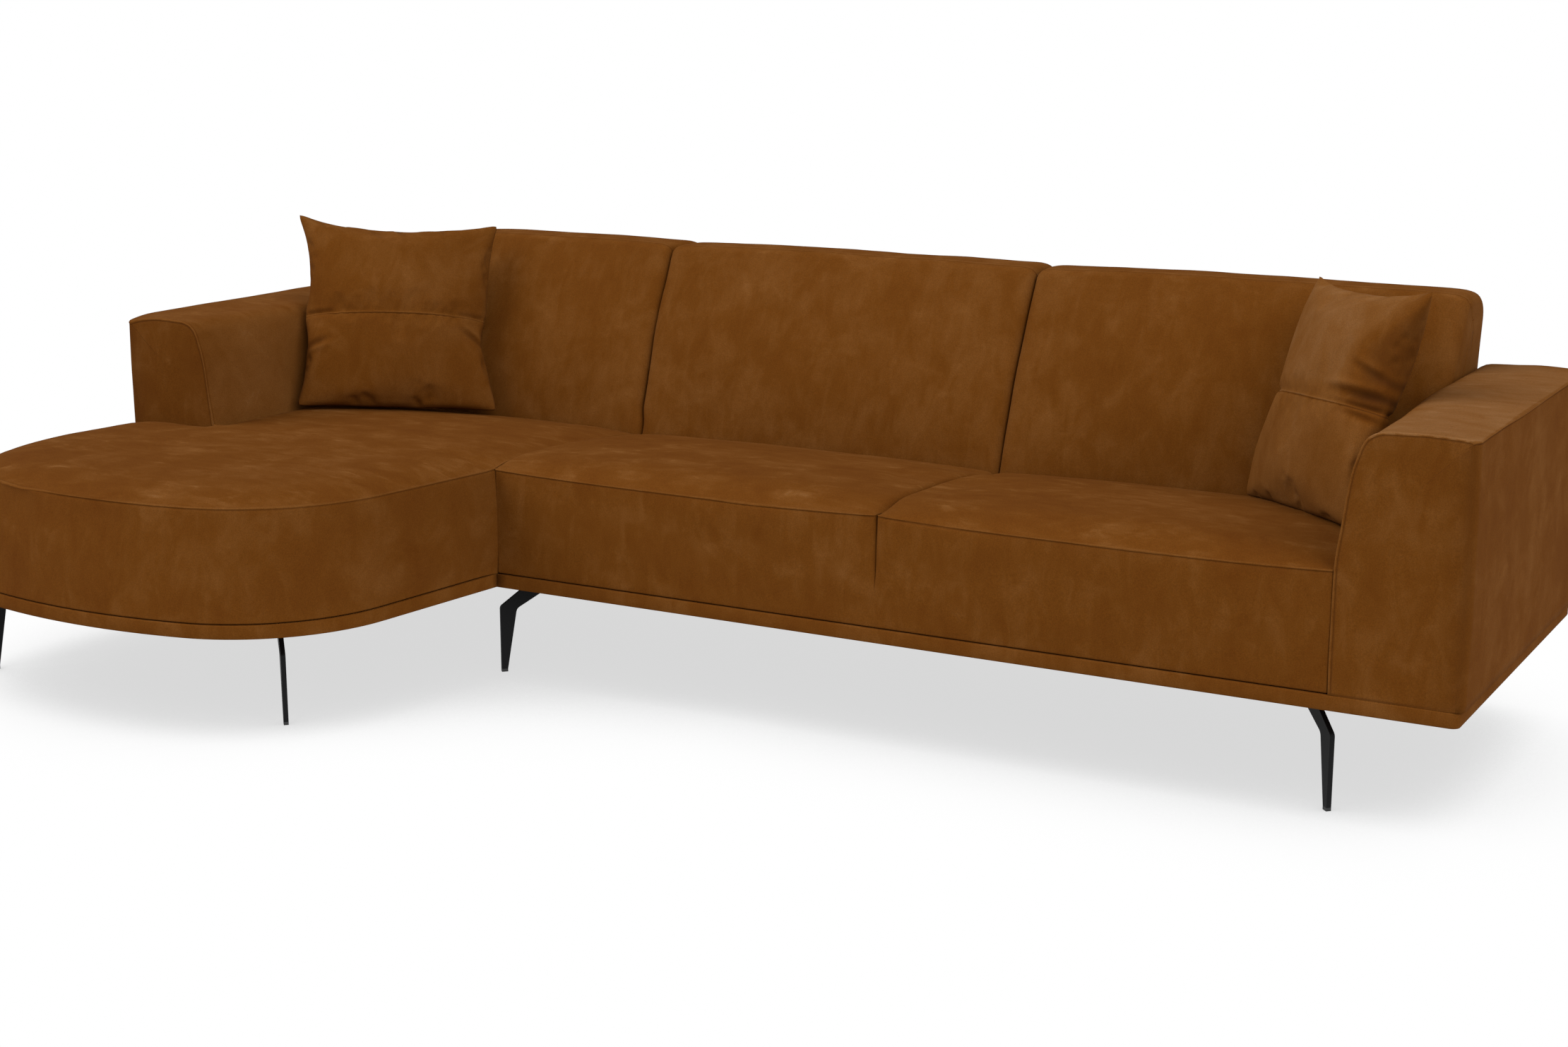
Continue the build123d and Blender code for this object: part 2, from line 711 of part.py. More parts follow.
# Backs: reclined crowned pads over a post and rail frame
def back_section(x, lean, drop, bulge):
    """Side profile of a back at one place along it; lean tilts the profile's plane."""
    z_start = z_base + back_face_start
    z_bend = z_base + arm_flare_start
    z_top = z_back - drop
    y_top = y_rear - back_top_depth
    radius = back_front_radius
    slope = math.atan2(y_top - y_back, z_top - z_start)

    def at(y, z):
        return (x + lean * (z - z_bend), y, z)

    face_end = (y_top - radius * math.sin(slope), z_top - radius * math.cos(slope))
    face_middle = ((y_back + face_end[0]) / 2, (z_start + face_end[1]) / 2)
    bulged = (face_middle[0] - bulge * math.cos(slope), face_middle[1] + bulge * math.sin(slope))
    half_bend = (math.pi / 2 + slope) / 2
    tip_reach = radius * (1 - math.sin(half_bend)) / math.cos(half_bend)
    nose_tip = (y_top + tip_reach * math.cos(half_bend), z_top - tip_reach * math.sin(half_bend))
    corner = back_rear_radius * (1 - math.sqrt(0.5))
    edges = [
        Line(at(y_back, z_base), at(y_rear, z_base)),
        Line(at(y_rear, z_base), at(y_rear, z_top - back_rear_radius)),
        ThreePointArc(
            at(y_rear, z_top - back_rear_radius),
            at(y_rear - corner, z_top - corner),
            at(y_rear - back_rear_radius, z_top),
        ),
        Line(at(y_rear - back_rear_radius, z_top), at(y_top + radius, z_top)),
        ThreePointArc(at(y_top + radius, z_top), at(*nose_tip), at(*face_end)),
        ThreePointArc(at(*face_end), at(*bulged), at(y_back, z_start)),
        Line(at(y_back, z_start), at(y_back, z_base)),
    ]
    return Face(Wire(edges))


def back_parts(x0, x1, lean0, lean1):
    """Pad, frame, panel and straps of one back."""
    stations = [
        (0.0, lean0, 1.0, 0.0),
        (back_shoulder, lean0 / 2, shoulder_drop, shoulder_fullness),
        (0.5, 0.0, 0.0, 1.0),
        (1.0 - back_shoulder, lean1 / 2, shoulder_drop, shoulder_fullness),
        (1.0, lean1, 1.0, 0.0),
    ]
    sections = []
    for share, lean, drop, fullness in stations:
        bulge = back_edge_bulge + fullness * (back_bulge - back_edge_bulge)
        sections.append(back_section(x0 + share * (x1 - x0), lean, drop * back_edge_drop, bulge))
    pad = loft(sections)

    left = x0 + back_end_padding
    right = x1 - back_end_padding
    y_panel = y_rear - back_panel_thickness
    y_post = y_panel - post_depth
    y_strap = y_post - strap_thickness
    z_frame = z_back - back_edge_drop - back_top_padding
    panel = block(left, right, y_panel, y_rear, z_base, z_frame)
    pad = pad - block(left, right, y_strap, y_rear + cut_over, z_base - cut_over, z_frame)
    frame = [
        block(left, left + post_width, y_post, y_panel, z_base, z_frame),
        block(right - post_width, right, y_post, y_panel, z_base, z_frame),
    ]
    gap = (z_frame - z_base - back_rail_height) / (back_rail_count - 1)
    for k in range(back_rail_count):
        z0 = z_base + k * gap
        z1 = z0 + back_rail_height
        frame.append(block(left + post_width, right - post_width, y_post, y_panel, z0, z1))
    pitch = (z_frame - z_base) / strap_count
    straps = []
    for k in range(strap_count):
        z0 = z_base + (k + 0.5) * pitch - strap_height / 2
        straps.append(block(left, right, y_strap, y_post, z0, z0 + strap_height))
    return pad, frame, panel, straps


half_gap = back_joint_gap / 2
back_places = {
    "left": (x_arm_left + rest_gap, x_joint - half_gap, -back_end_lean, 0.0),
    "middle": (x_joint + half_gap, x_split - half_gap, 0.0, 0.0),
    "right": (x_split + half_gap, x_arm_right - rest_gap, 0.0, back_end_lean),
}
all_straps = []
for side, place in back_places.items():
    pad, frame, panel, straps = back_parts(*place)
    save("back_pad_" + side, [pad])
    save("back_frame_" + side, frame)
    save("back_panel_" + side, [panel])
    all_straps += straps
save("back_webbing", all_straps)


# Scatter cushions: two crowned faces with drawn-in sides and pointed corners
def scatter_cushion():
    """Cushion standing in the XZ plane around its own middle."""
    half_width = scatter_width / 2
    half_height = scatter_height / 2
    corners = [
        (-half_width, -half_height),
        (half_width, -half_height),
        (half_width, half_height),
        (-half_width, half_height),
    ]
    draws = [(0, scatter_pinch), (-scatter_pinch, 0), (0, -scatter_pinch), (scatter_pinch, 0)]
    sides = []
    for k in range(4):
        start = corners[k]
        end = corners[(k + 1) % 4]
        middle = ((start[0] + end[0]) / 2 + draws[k][0], (start[1] + end[1]) / 2 + draws[k][1])
        sides.append(ThreePointArc(start, middle, end))
    outline = Rot(90, 0, 0) * extrude(make_face(sides), amount=scatter_thickness, both=True)
    reach = half_height * scatter_rim
    sections = []
    for k in range(scatter_section_count):
        share = 2 * k / (scatter_section_count - 1) - 1
        x = share * half_width * scatter_rim
        swell = scatter_thickness / 2 * (1 - scatter_side_draw * share * share)
        front = ThreePointArc((x, 0, -reach), (x, -swell, 0), (x, 0, reach))
        rear = ThreePointArc((x, 0, reach), (x, swell, 0), (x, 0, -reach))
        sections.append(Face(Wire([front, rear])))
    return loft(sections) & outline


def placed(x, y, z, turn, tilt, roll):
    """Scatter cushion rolled to the seat's slope, leaned back and turned."""
    return Pos(x, y, z) * Rot(0, 0, turn) * Rot(-tilt, 0, 0) * Rot(0, roll, 0) * scatter_cushion()


left_scatter = placed(
    x_arm_left + left_scatter_from_arm,
    y_front + left_scatter_from_front,
    z_seam + left_scatter_lift,
    left_scatter_turn,
    left_scatter_tilt,
    left_scatter_roll,
)
right_scatter = placed(
    x_arm_right - right_scatter_from_arm,
    y_front + right_scatter_from_front,
    z_seam + right_scatter_lift,
    right_scatter_turn,
    right_scatter_tilt,
    right_scatter_roll,
)
save("scatter_cushion_left", [left_scatter])
save("scatter_cushion_right", [right_scatter])
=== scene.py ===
import json
import math

import bmesh
import bpy
import numpy as np
from mathutils import Matrix, Vector
from mathutils.bvhtree import BVHTree


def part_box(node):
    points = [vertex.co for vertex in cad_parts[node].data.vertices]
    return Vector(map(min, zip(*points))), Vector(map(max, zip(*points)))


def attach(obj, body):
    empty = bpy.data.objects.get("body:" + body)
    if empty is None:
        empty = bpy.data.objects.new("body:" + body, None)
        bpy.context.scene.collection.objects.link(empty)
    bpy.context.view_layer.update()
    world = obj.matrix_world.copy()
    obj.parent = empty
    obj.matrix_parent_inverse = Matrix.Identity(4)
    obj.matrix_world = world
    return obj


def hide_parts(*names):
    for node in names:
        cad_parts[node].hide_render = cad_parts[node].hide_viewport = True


# Lounge sofa with a rounded chaise: covers, cushions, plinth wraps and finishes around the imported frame.
# Shapes are worked out in millimetres in the frame's own axes and turned to metres when a mesh is made.
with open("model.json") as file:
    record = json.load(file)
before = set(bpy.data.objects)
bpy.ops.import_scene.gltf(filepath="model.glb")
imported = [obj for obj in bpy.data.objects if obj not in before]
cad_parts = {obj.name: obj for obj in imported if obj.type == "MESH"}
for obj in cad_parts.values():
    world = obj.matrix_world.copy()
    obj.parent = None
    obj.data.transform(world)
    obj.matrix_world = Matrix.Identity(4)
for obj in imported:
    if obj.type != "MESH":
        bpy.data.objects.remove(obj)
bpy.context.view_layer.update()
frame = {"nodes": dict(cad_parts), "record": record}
MM = 0.001


def box_mm(node):
    """Lowest and highest corner of a frame node, in millimetres."""
    return [np.array(corner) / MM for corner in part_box(node)]


# Lines of the frame that the covers follow
cushion_gap = 1.5
x_arm_right, y_front, z_base = box_mm("right_arm_pad")[0]
x_right, y_rear, z_arm = box_mm("right_arm_pad")[1]
x_left = box_mm("left_arm_pad")[0][0]
x_arm_left = box_mm("left_arm_pad")[1][0]
x_nose, y_nose, z_plinth = box_mm("chaise_plinth")[0]
x_joint = box_mm("chaise_plinth")[1][0]
x_split = box_mm("seat_cushion_right")[0][0] - cushion_gap
y_back = box_mm("sofa_felt_pad")[1][1]
z_back = box_mm("back_pad_middle")[1][2]
seat_width = x_arm_right - x_split
arm_width = x_right - x_arm_right
plinth_side_inset = x_right - box_mm("sofa_plinth")[1][0]

# Values that the covers share
edge_steps = np.array([0.0, 0.7, 1.5, 2.6, 4.0, 6.0, 9.0, 13.0, 19.0, 27.0, 38.0])    # net spacing at an edge
net_pitch = 12.0            # and away from it
cover_gap = 0.6             # between a cover and what it meets
panel_foot = 1.4            # lower edge of the panels, above the plinth
tucked_under = 14.0         # from there the cover runs back and down to the plinth
foot_radius = 3.5
straight_foot = 40.0        # the padding is even this far above the plinth
z_foot = z_base + panel_foot
z_under = z_base + 0.2
far_off = 1000.0            # stands for no distance to measure
wave_count = 9              # waves of the uneven padding
wave_lengths = (0.6, 1.7)   # their shortest and longest, as shares of a reach
weld_distance = 0.02
shortest_edge = 0.005
skirt_margin = 60.0         # open edges higher than this above the foot are drawn down
most_points = 10**5         # no net has more


# Small shape helpers
def smooth_step(share):
    """Eases from 0 to 1."""
    share = np.clip(share, 0.0, 1.0)
    return share * share * (3.0 - 2.0 * share)


def running_out(distance, reach, power=2.0):
    """Falls from 1 to 0 over a reach."""
    return (1 - np.clip(distance / reach, 0.0, 1.0)) ** power


def bell(distance, width):
    """Falls off from 1 on both sides of a line."""
    return np.exp(-((distance / width) ** 2))


def round_over(distance, radius):
    """How far a rounded edge stands back at a distance from its end."""
    lack = np.clip(radius - distance, 0.0, radius)
    return radius - np.sqrt(radius * radius - lack * lack)


def quarter(radius, count):
    """Steps round a quarter circle: how far each stands in from the one side and from the other."""
    turns = np.linspace(0, math.pi / 2, count)
    return radius * np.stack([1 - np.sin(turns), 1 - np.cos(turns)], axis=-1)


def unit(way):
    """Directions with a length of 1."""
    return way / np.linalg.norm(way, axis=-1, keepdims=True)


def left_of(way):
    """Directions in a plane, turned a quarter to the left."""
    return np.stack([-way[..., 1], way[..., 0]], axis=-1)


def eased(start, corner, end, count):
    """Curve from start to end that begins and ends along the lines to the corner."""
    share = np.linspace(0, 1, count + 1)[:, None]
    return (1 - share) ** 2 * start + 2 * share * (1 - share) * corner + share**2 * end


def spaced(start, end):
    """Places from start to end, closer together at both ends."""
    reach = edge_steps[-1]
    count = max(int((end - start - 2 * reach) / net_pitch), 2) + 1
    inner = np.linspace(start + reach, end - reach, count)
    return np.concatenate([start + edge_steps[:-1], inner, end - edge_steps[-2::-1]])


def smooth_curve(knots, values, at):
    """Values of a natural cubic line through the knots."""
    knots = np.asarray(knots, float)
    values = np.asarray(values, float)
    last = len(knots) - 1
    step = np.diff(knots)
    slope = np.diff(values) / step
    system = np.eye(last + 1)
    right_side = np.zeros(last + 1)
    for k in range(1, last):
        system[k, k - 1 : k + 2] = step[k - 1], 2 * (step[k - 1] + step[k]), step[k]
        right_side[k] = 3 * (slope[k] - slope[k - 1])
    bend = np.linalg.solve(system, right_side)
    at = np.clip(at, knots[0], knots[-1])
    k = np.clip(np.searchsorted(knots, at) - 1, 0, last - 1)
    t = at - knots[k]
    first = slope[k] - step[k] * (2 * bend[k] + bend[k + 1]) / 3
    third = (bend[k + 1] - bend[k]) / (3 * step[k])
    return values[k] + first * t + bend[k] * t**2 + third * t**3


def line_lengths(points):
    """Length along a line of points, from 0 to 1."""
    steps = np.linalg.norm(np.diff(points, axis=0), axis=1)
    along = np.concatenate([[0.0], np.cumsum(steps)])
    return along / along[-1]


def coons(near, far, first, last):
    """Net between four edge lines; near and far run from first to last."""
    across = ((line_lengths(near) + line_lengths(far)) / 2)[None, :, None]
    along = ((line_lengths(first) + line_lengths(last)) / 2)[:, None, None]
    ruled = (1 - along) * near[None] + along * far[None]
    ruled = ruled + (1 - across) * first[:, None] + across * last[:, None]
    corners = (1 - along) * ((1 - across) * near[0] + across * near[-1])
    corners = corners + along * ((1 - across) * far[0] + across * far[-1])
    return ruled - corners


def swells(points, reach, seed):
    """Low uneven waves about a reach long, from -1 to 1, the same on every run."""
    draw = np.random.default_rng(seed)
    total = np.zeros(len(points))
    for _ in range(wave_count):
        direction = unit(draw.normal(size=3))
        length = reach * draw.uniform(*wave_lengths)
        total += np.sin(points @ direction * 2 * math.pi / length + draw.uniform(0, 2 * math.pi))
    return total / math.sqrt(wave_count)


# Meshes
def quads(ids):
    """Faces between rows of point numbers."""
    corners = [ids[:-1, :-1], ids[:-1, 1:], ids[1:, 1:], ids[1:, :-1]]
    return np.stack(corners, axis=-1).reshape(-1, 4)


def new_mesh(name, points, faces):
    """Mesh from points and faces."""
    mesh = bpy.data.meshes.new(name)
    mesh.from_pydata(points, [], faces)
    return mesh


def linked(name, data):
    """Object around a mesh, lamp or camera, in the scene."""
    made = bpy.data.objects.new(name, data)
    bpy.context.scene.collection.objects.link(made)
    return made


def rows_of(items, key):
    """Points or directions of a mesh as rows of three."""
    values = np.zeros(len(items) * 3)
    items.foreach_get(key, values)
    return values.reshape(-1, 3)


def move_points(mesh, points):
    """Puts the points of a mesh in new places."""
    mesh.vertices.foreach_set("co", points.ravel())
    mesh.update()


def rank(item):
    """Value that sorts the edges or faces of a net by their point numbers."""
    numbers = sorted(v.index for v in item.verts)
    return (numbers[0] * most_points + numbers[1]) * most_points + numbers[-1]


class Rows:
    """Rows of points that make up a net, with their seam marks."""

    def __init__(self):
        self.points = []
        self.marks = []

    def add(self, x, y, z, mark=0.0):
        """One more row; a value that is the same all along it is given once."""
        x, y, z, mark = np.broadcast_arrays(x, y, z, mark)
        self.points.append(np.stack([x, y, z], axis=-1))
        self.marks.append(mark)

    def stacked(self):
        """All rows and all marks."""
        return np.stack(self.points), np.stack(self.marks)


class Cover:
    """Nets of one sewn cover, welded into a closed mesh.

    A seam mark is -1 where shade is painted into a dark groove, 0 on plain fabric and 1 where the nap is rubbed
    pale; between them it carries painted shade on folds and shaded sides and painted light on lit parts.
    """

    def __init__(self, name):
        self.name = name
        self.points = []
        self.faces = []
        self.seams = []
        self.count = 0

    def net(self, points, seams=0.0, closed=False):
        """Adds rows of points; closed joins the end of each row to its start."""
        rows, columns = points.shape[:2]
        ids = self.count + np.arange(rows * columns).reshape(rows, columns)
        if closed:
            ids = np.hstack([ids, ids[:, :1]])
        self.faces += quads(ids).tolist()
        self.points.append(points.reshape(-1, 3))
        self.seams.append(np.broadcast_to(seams, (rows, columns)).reshape(-1))
        self.count += rows * columns

    def made(self, skirt=None):
        """Welded and closed object; skirt is the height to which open upper edges are drawn down."""
        mesh = new_mesh(self.name, np.concatenate(self.points).tolist(), self.faces)
        # The seam marks carry painted shade and painted light besides seams and rubbed nap
        seam = mesh.attributes.new("seam", "FLOAT", "POINT")
        seam.data.foreach_set("value", np.concatenate(self.seams).astype(np.float32))
        net = bmesh.new()
        net.from_mesh(mesh)
        bmesh.ops.remove_doubles(net, verts=net.verts, dist=weld_distance)
        if skirt is not None:
            rims = [edge for edge in net.edges if edge.is_boundary]
            high = [edge for edge in rims if min(v.co.z for v in edge.verts) > skirt + skirt_margin]
            for drawn in bmesh.ops.extrude_edge_only(net, edges=high)["geom"]:
                if isinstance(drawn, bmesh.types.BMVert):
                    drawn.co.z = skirt
            bmesh.ops.remove_doubles(net, verts=net.verts, dist=weld_distance)
        bmesh.ops.dissolve_degenerate(net, edges=net.edges, dist=shortest_edge)
        bmesh.ops.holes_fill(net, edges=[edge for edge in net.edges if edge.is_boundary], sides=0)
        bmesh.ops.triangulate(net, faces=[face for face in net.faces if len(face.verts) > 4])
        # Where two faces meet in a corner, each is split from that corner, so that they share no other edge
        for tip in [v for v in net.verts if len(v.link_edges) == 2]:
            for face in list(tip.link_faces):
                around = list(face.verts)
                if len(around) == 4:
                    bmesh.utils.face_split(face, tip, around[(around.index(tip) + 2) % 4])
        bmesh.ops.recalc_face_normals(net, faces=net.faces)
        if net.calc_volume(signed=True) < 0:
            bmesh.ops.reverse_faces(net, faces=net.faces)
        if skirt is not None:
            # The faces drawn down come in a chance order; sorted, the cloth pass is the same each run
            net.verts.index_update()
            net.edges.sort(key=rank)
            net.faces.sort(key=rank)
        net.to_mesh(mesh)
        net.free()
        mesh.shade_smooth()
        return linked(self.name, mesh)


# Cloth under pressure: a light pass for the padded covers, a full one for the scatter cushions
padding_cloth = dict(
    quality=5, mass=0.3, air_damping=3.0, tension_stiffness=20.0, compression_stiffness=20.0,
    shear_stiffness=10.0, bending_stiffness=8.0, uniform_pressure_force=0.15, shrink_max=0.015,
    vertex_group_mass="held",
)
scatter_cloth = dict(
    quality=8, mass=0.25, air_damping=2.0, tension_stiffness=25.0, compression_stiffness=25.0,
    shear_stiffness=12.0, bending_stiffness=3.0, uniform_pressure_force=1.2, shrink_max=0.035,
)
padding_frames = 12
scatter_frames = 16
padding_cap = 4.5           # the padding moves less than this
drawn_in_mark = 0.5         # seams with a stronger mark draw in


def blown_up(piece, groups, values, frame_count):
    """Points of a piece after it is blown up as cloth; groups give point numbers and their weight."""
    for name, numbers, weight in groups:
        group = piece.vertex_groups.get(name) or piece.vertex_groups.new(name=name)
        group.add([int(k) for k in numbers], weight, "REPLACE")
    cloth = piece.modifiers.new("cloth", "CLOTH")
    cloth.settings.use_pressure = True
    cloth.settings.shrink_min = 0.0
    cloth.settings.vertex_group_shrink = "drawn_in"
    cloth.settings.effector_weights.gravity = 0.0
    for name, value in values.items():
        setattr(cloth.settings, name, value)
    cloth.point_cache.frame_start = 1
    cloth.point_cache.frame_end = frame_count
    scene = bpy.context.scene
    for moment in range(1, frame_count + 1):
        scene.frame_set(moment)
    blown = piece.evaluated_get(bpy.context.evaluated_depsgraph_get())
    points = rows_of(blown.data.vertices, "co")
    scene.frame_set(1)
    piece.modifiers.remove(cloth)
    piece.vertex_groups.clear()
    return points


def drawn_tight(piece, held):
    """Blows a cover up a little; seams draw in, held points stay, and movement eases off to a cap."""
    mesh = piece.data
    start = rows_of(mesh.vertices, "co")
    marks = np.zeros(len(start), np.float32)
    mesh.attributes["seam"].data.foreach_get("value", marks)
    sewn = np.flatnonzero(np.abs(marks) > drawn_in_mark)
    groups = [("held", np.flatnonzero(held), 1.0), ("drawn_in", sewn, 1.0)]
    moved = blown_up(piece, groups, padding_cloth, padding_frames) - start
    cap = padding_cap * MM
    moved *= cap / (cap + np.linalg.norm(moved, axis=1, keepdims=True))
    move_points(mesh, start + moved)


def settle(piece, body="sofa", replaced=(), waves=(), seed=1, held=None):
    """Gives a cover its uneven padding, its size in metres, its finish and its place in the frame."""
    mesh = piece.data
    for reach, height in waves:
        points = rows_of(mesh.vertices, "co")
        from_foot = smooth_step((points[:, 2] - z_base) / straight_foot)
        lift = swells(points, reach, seed) * height * from_foot
        move_points(mesh, points + rows_of(mesh.vertex_normals, "vector") * lift[:, None])
    is_held = held(*rows_of(mesh.vertices, "co").T) if held else None
    mesh.transform(Matrix.Scale(MM, 4))
    if held:
        drawn_tight(piece, is_held)
    mesh.materials.clear()
    mesh.materials.append(velvet)
    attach(piece, body)
    if replaced:
        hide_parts(*replaced)
    return piece


# Finishes
def linear(hex_colour):
    """Colour socket value of an sRGB hex colour."""
    levels = [int(hex_colour[k : k + 2], 16) / 255 for k in (1, 3, 5)]
    return tuple(v / 12.92 if v <= 0.04045 else ((v + 0.055) / 1.055) ** 2.4 for v in levels) + (1.0,)


def per_metre(millimetres):
    """Pattern scale for a feature of a real size."""
    return 1.0 / (millimetres * MM)


def add(tree, kind, sockets, out=0, **settings):
    """Adds a node and gives back one of its outputs; a socket gets a constant or another node's output."""
    made = tree.nodes.new("ShaderNode" + kind)
    for name, value in settings.items():
        setattr(made, name, value)
    for name, value in sockets.items():
        if isinstance(value, bpy.types.NodeSocket):
            tree.links.new(value, made.inputs[name])
        else:
            made.inputs[name].default_value = value
    return made.outputs[out] if made.outputs else None


def new_finish(name):
    """Empty material and its node tree."""
    finish = bpy.data.materials.new(name)
    finish.use_nodes = True
    finish.node_tree.nodes.clear()
    return finish, finish.node_tree


def graded(tree, factor, *stops):
    """Colour band from a factor; stops are places with hex colours."""
    band = add(tree, "ValToRGB", {"Fac": factor})
    elements = band.node.color_ramp.elements
    while len(elements) < len(stops):
        elements.new(0.5)
    for element, (place, hex_colour) in zip(elements, stops):
        element.position = place
        element.color = linear(hex_colour)
    return band


# Patterns of the velvet's nap: stretch along the axes, size in mm, detail, roughness, distortion.
# Single fibres are about 0.3 mm; the pile is drawn at 2 mm so that it shows.
nap_patterns = {
    "clouds": ((1.0, 1.0, 1.0), 95.0, 5.0, 0.55, 0.5),
    "side_strokes": ((1.0, 0.4, 0.42), 38.0, 4.0, 0.6, 0.8),
    "top_strokes": ((0.42, 1.0, 1.0), 34.0, 4.0, 0.6, 0.8),
    "drift": ((1.0, 1.0, 1.0), 420.0, 2.0, 0.5, 0.0),
    "scuffs": ((0.4, 1.0, 0.8), 21.0, 3.0, 0.5, 0.6),
    "pile": ((1.0, 1.0, 1.0), 2.0, 2.0, 0.5, 0.0),
}


def velvet_finish():
    """Brushed polyester velvet: its nap lies in patches, so the brown clouds softly and pales at a flat look; the
    seam marks add rubbed nap, painted shade in grooves, folds and shaded sides, and painted light on lit parts.
    """
    finish, tree = new_finish("brushed_polyester_velvet_cognac")
    place = add(tree, "TexCoord", {}, "Object")
    nap = {}
    for name, (stretch, size, detail, roughness, distortion) in nap_patterns.items():
        values = {"Vector": add(tree, "Mapping", {"Vector": place, "Scale": stretch}), "Scale": per_metre(size)}
        values.update({"Detail": detail, "Roughness": roughness, "Distortion": distortion})
        nap[name] = add(tree, "TexNoise", values)
    upwards = add(tree, "SeparateXYZ", {"Vector": add(tree, "NewGeometry", {}, "Normal")}, "Z")
    on_top = add(tree, "MapRange", {"Value": upwards, "From Min": 0.5, "From Max": 0.9})
    strokes = add(tree, "Mix", {0: on_top, 2: nap["side_strokes"], 3: nap["top_strokes"]})
    lay = add(tree, "Math", {0: nap["clouds"], 1: strokes}, operation="ADD")
    lay = add(tree, "Math", {0: nap["drift"], 1: 0.6, 2: lay}, operation="MULTIPLY_ADD")
    share = add(tree, "MapRange", {"Value": lay, "From Min": 0.75, "From Max": 1.85, "To Max": 0.62})
    # Scuffs: short pale strokes where the nap was wiped, in loose groups, stronger on top
    strength = add(tree, "MapRange", {"Value": on_top, "To Min": 0.1, "To Max": 0.27})
    scuffed = {"Value": nap["scuffs"], "From Min": 0.52, "From Max": 0.72, "To Max": strength}
    scuffs = add(tree, "MapRange", scuffed)
    groups = add(tree, "MapRange", {"Value": nap["clouds"], "From Min": 0.42, "From Max": 0.62})
    share = add(tree, "Math", {0: scuffs, 1: groups, 2: share}, operation="MULTIPLY_ADD")
    # Where the nap is rubbed, and where light is painted in, it lies paler and more even
    seam = add(tree, "Attribute", {}, "Fac", attribute_name="seam")
    calm = add(tree, "MapRange", {"Value": seam, "To Min": 1.0, "To Max": 0.55})
    wear_and_painted_light = add(tree, "MapRange", {"Value": seam, "To Max": 0.64})
    share = add(tree, "Math", {0: share, 1: calm, 2: wear_and_painted_light}, operation="MULTIPLY_ADD")
    brown = graded(tree, share, (0.0, "#552d0a"), (0.31, "#5e3610"), (0.62, "#6b431d"), (1.0, "#7d5937"))
    fleck = graded(tree, nap["pile"], (0.3, "#e2e2e2"), (0.7, "#ffffff"))
    flecked = {"Factor": 1.0, 6: brown, 7: fleck}
    brown = add(tree, "Mix", flecked, 2, data_type="RGBA", blend_type="MULTIPLY")
    # Painted shade: negative marks darken grooves, folds and shaded sides towards a deep brown
    groove = add(tree, "MapRange", {"Value": seam, "From Min": 0.0, "From Max": -1.0})
    brown = add(tree, "Mix", {"Factor": groove, 6: brown, 7: linear("#361c08")}, 2, data_type="RGBA")
    relief = add(tree, "Bump", {"Height": strokes, "Strength": 0.25, "Distance": 1.2 * MM})
    tips = {"Height": nap["pile"], "Strength": 0.35, "Distance": 0.5 * MM, "Normal": relief}
    surface = {
        "Base Color": brown,
        "Roughness": 1.0,
        "Specular IOR Level": 0.02,
        "Sheen Weight": 0.03,
        "Sheen Roughness": 0.45,
        "Sheen Tint": linear("#cf8f52"),
        "Normal": add(tree, "Bump", tips),
    }
    add(tree, "OutputMaterial", {"Surface": add(tree, "BsdfPrincipled", surface)})
    return finish


def speckled_finish(
    name, dark, pale, grain, roughness, metallic, bump, spread=0.4, stretch=(1.0, 1.0, 1.0), gloss=0.5
):
    """Finish with one grain in mm: two clouded colours, the bump in mm and the shader's values."""
    finish, tree = new_finish(name)
    place = add(tree, "Mapping", {"Vector": add(tree, "TexCoord", {}, "Object"), "Scale": stretch})
    speck = add(tree, "TexNoise", {"Vector": place, "Scale": per_metre(grain), "Detail": 3.0})
    surface = {
        "Base Color": graded(tree, speck, (0.5 - spread / 2, dark), (0.5 + spread / 2, pale)),
        "Roughness": roughness,
        "Metallic": metallic,
        "Specular IOR Level": gloss,
        "Normal": add(tree, "Bump", {"Height": speck, "Strength": 0.5, "Distance": bump * MM}),
    }
    add(tree, "OutputMaterial", {"Surface": add(tree, "BsdfPrincipled", surface)})
    return finish


along_band = (0.2, 1.0, 1.0)
along_board = (0.06, 1.0, 1.0)
velvet = velvet_finish()
slot_finishes = {
    "cover_fabric": velvet,
    # Powder coat: fine orange peel, dull black
    "leg_steel": speckled_finish(
        "powder_coated_steel_black", "#0b0b0c", "#111112", 1.6, 0.55, 0.0, 0.1, gloss=0.12
    ),
    # Moulded polyamide glides: even, slightly rough black
    "glide_plastic": speckled_finish("moulded_polyamide_black", "#161616", "#1d1d1d", 1.2, 0.6, 0.0, 0.05),
    # Zinc plating: pale bluish metal with faint clouds
    "zinc_steel": speckled_finish("zinc_plated_steel", "#a9adb0", "#c3c6c6", 4.0, 0.35, 1.0, 0.03),
    # Oiled spring wire: dark drawn metal
    "spring_steel": speckled_finish("oiled_spring_wire", "#4a4a4c", "#6a6a6c", 3.0, 0.4, 1.0, 0.04),
    # Needled felt: grey tangle of fibres
    "felt": speckled_finish("needled_felt_grey", "#7f7d79", "#a09d97", 3.0, 0.95, 0.0, 0.6),
    # Spunbond dust cloth: black, lightly mottled
    "dust_cloth": speckled_finish("spunbond_dust_cloth", "#1b1b1b", "#2c2c2c", 2.0, 0.9, 0.0, 0.3, 0.3),
    # Woven elastic webbing: brown bands
    "webbing": speckled_finish(
        "woven_elastic_webbing", "#5a4a38", "#75634c", 3.0, 0.85, 0.0, 0.4, 0.4, along_band
    ),
    # Planed pine: pale streaks along the board
    "frame_wood": speckled_finish("planed_pine", "#c79f6b", "#dfbf8e", 9.0, 0.6, 0.0, 0.2, 0.5, along_board),
}
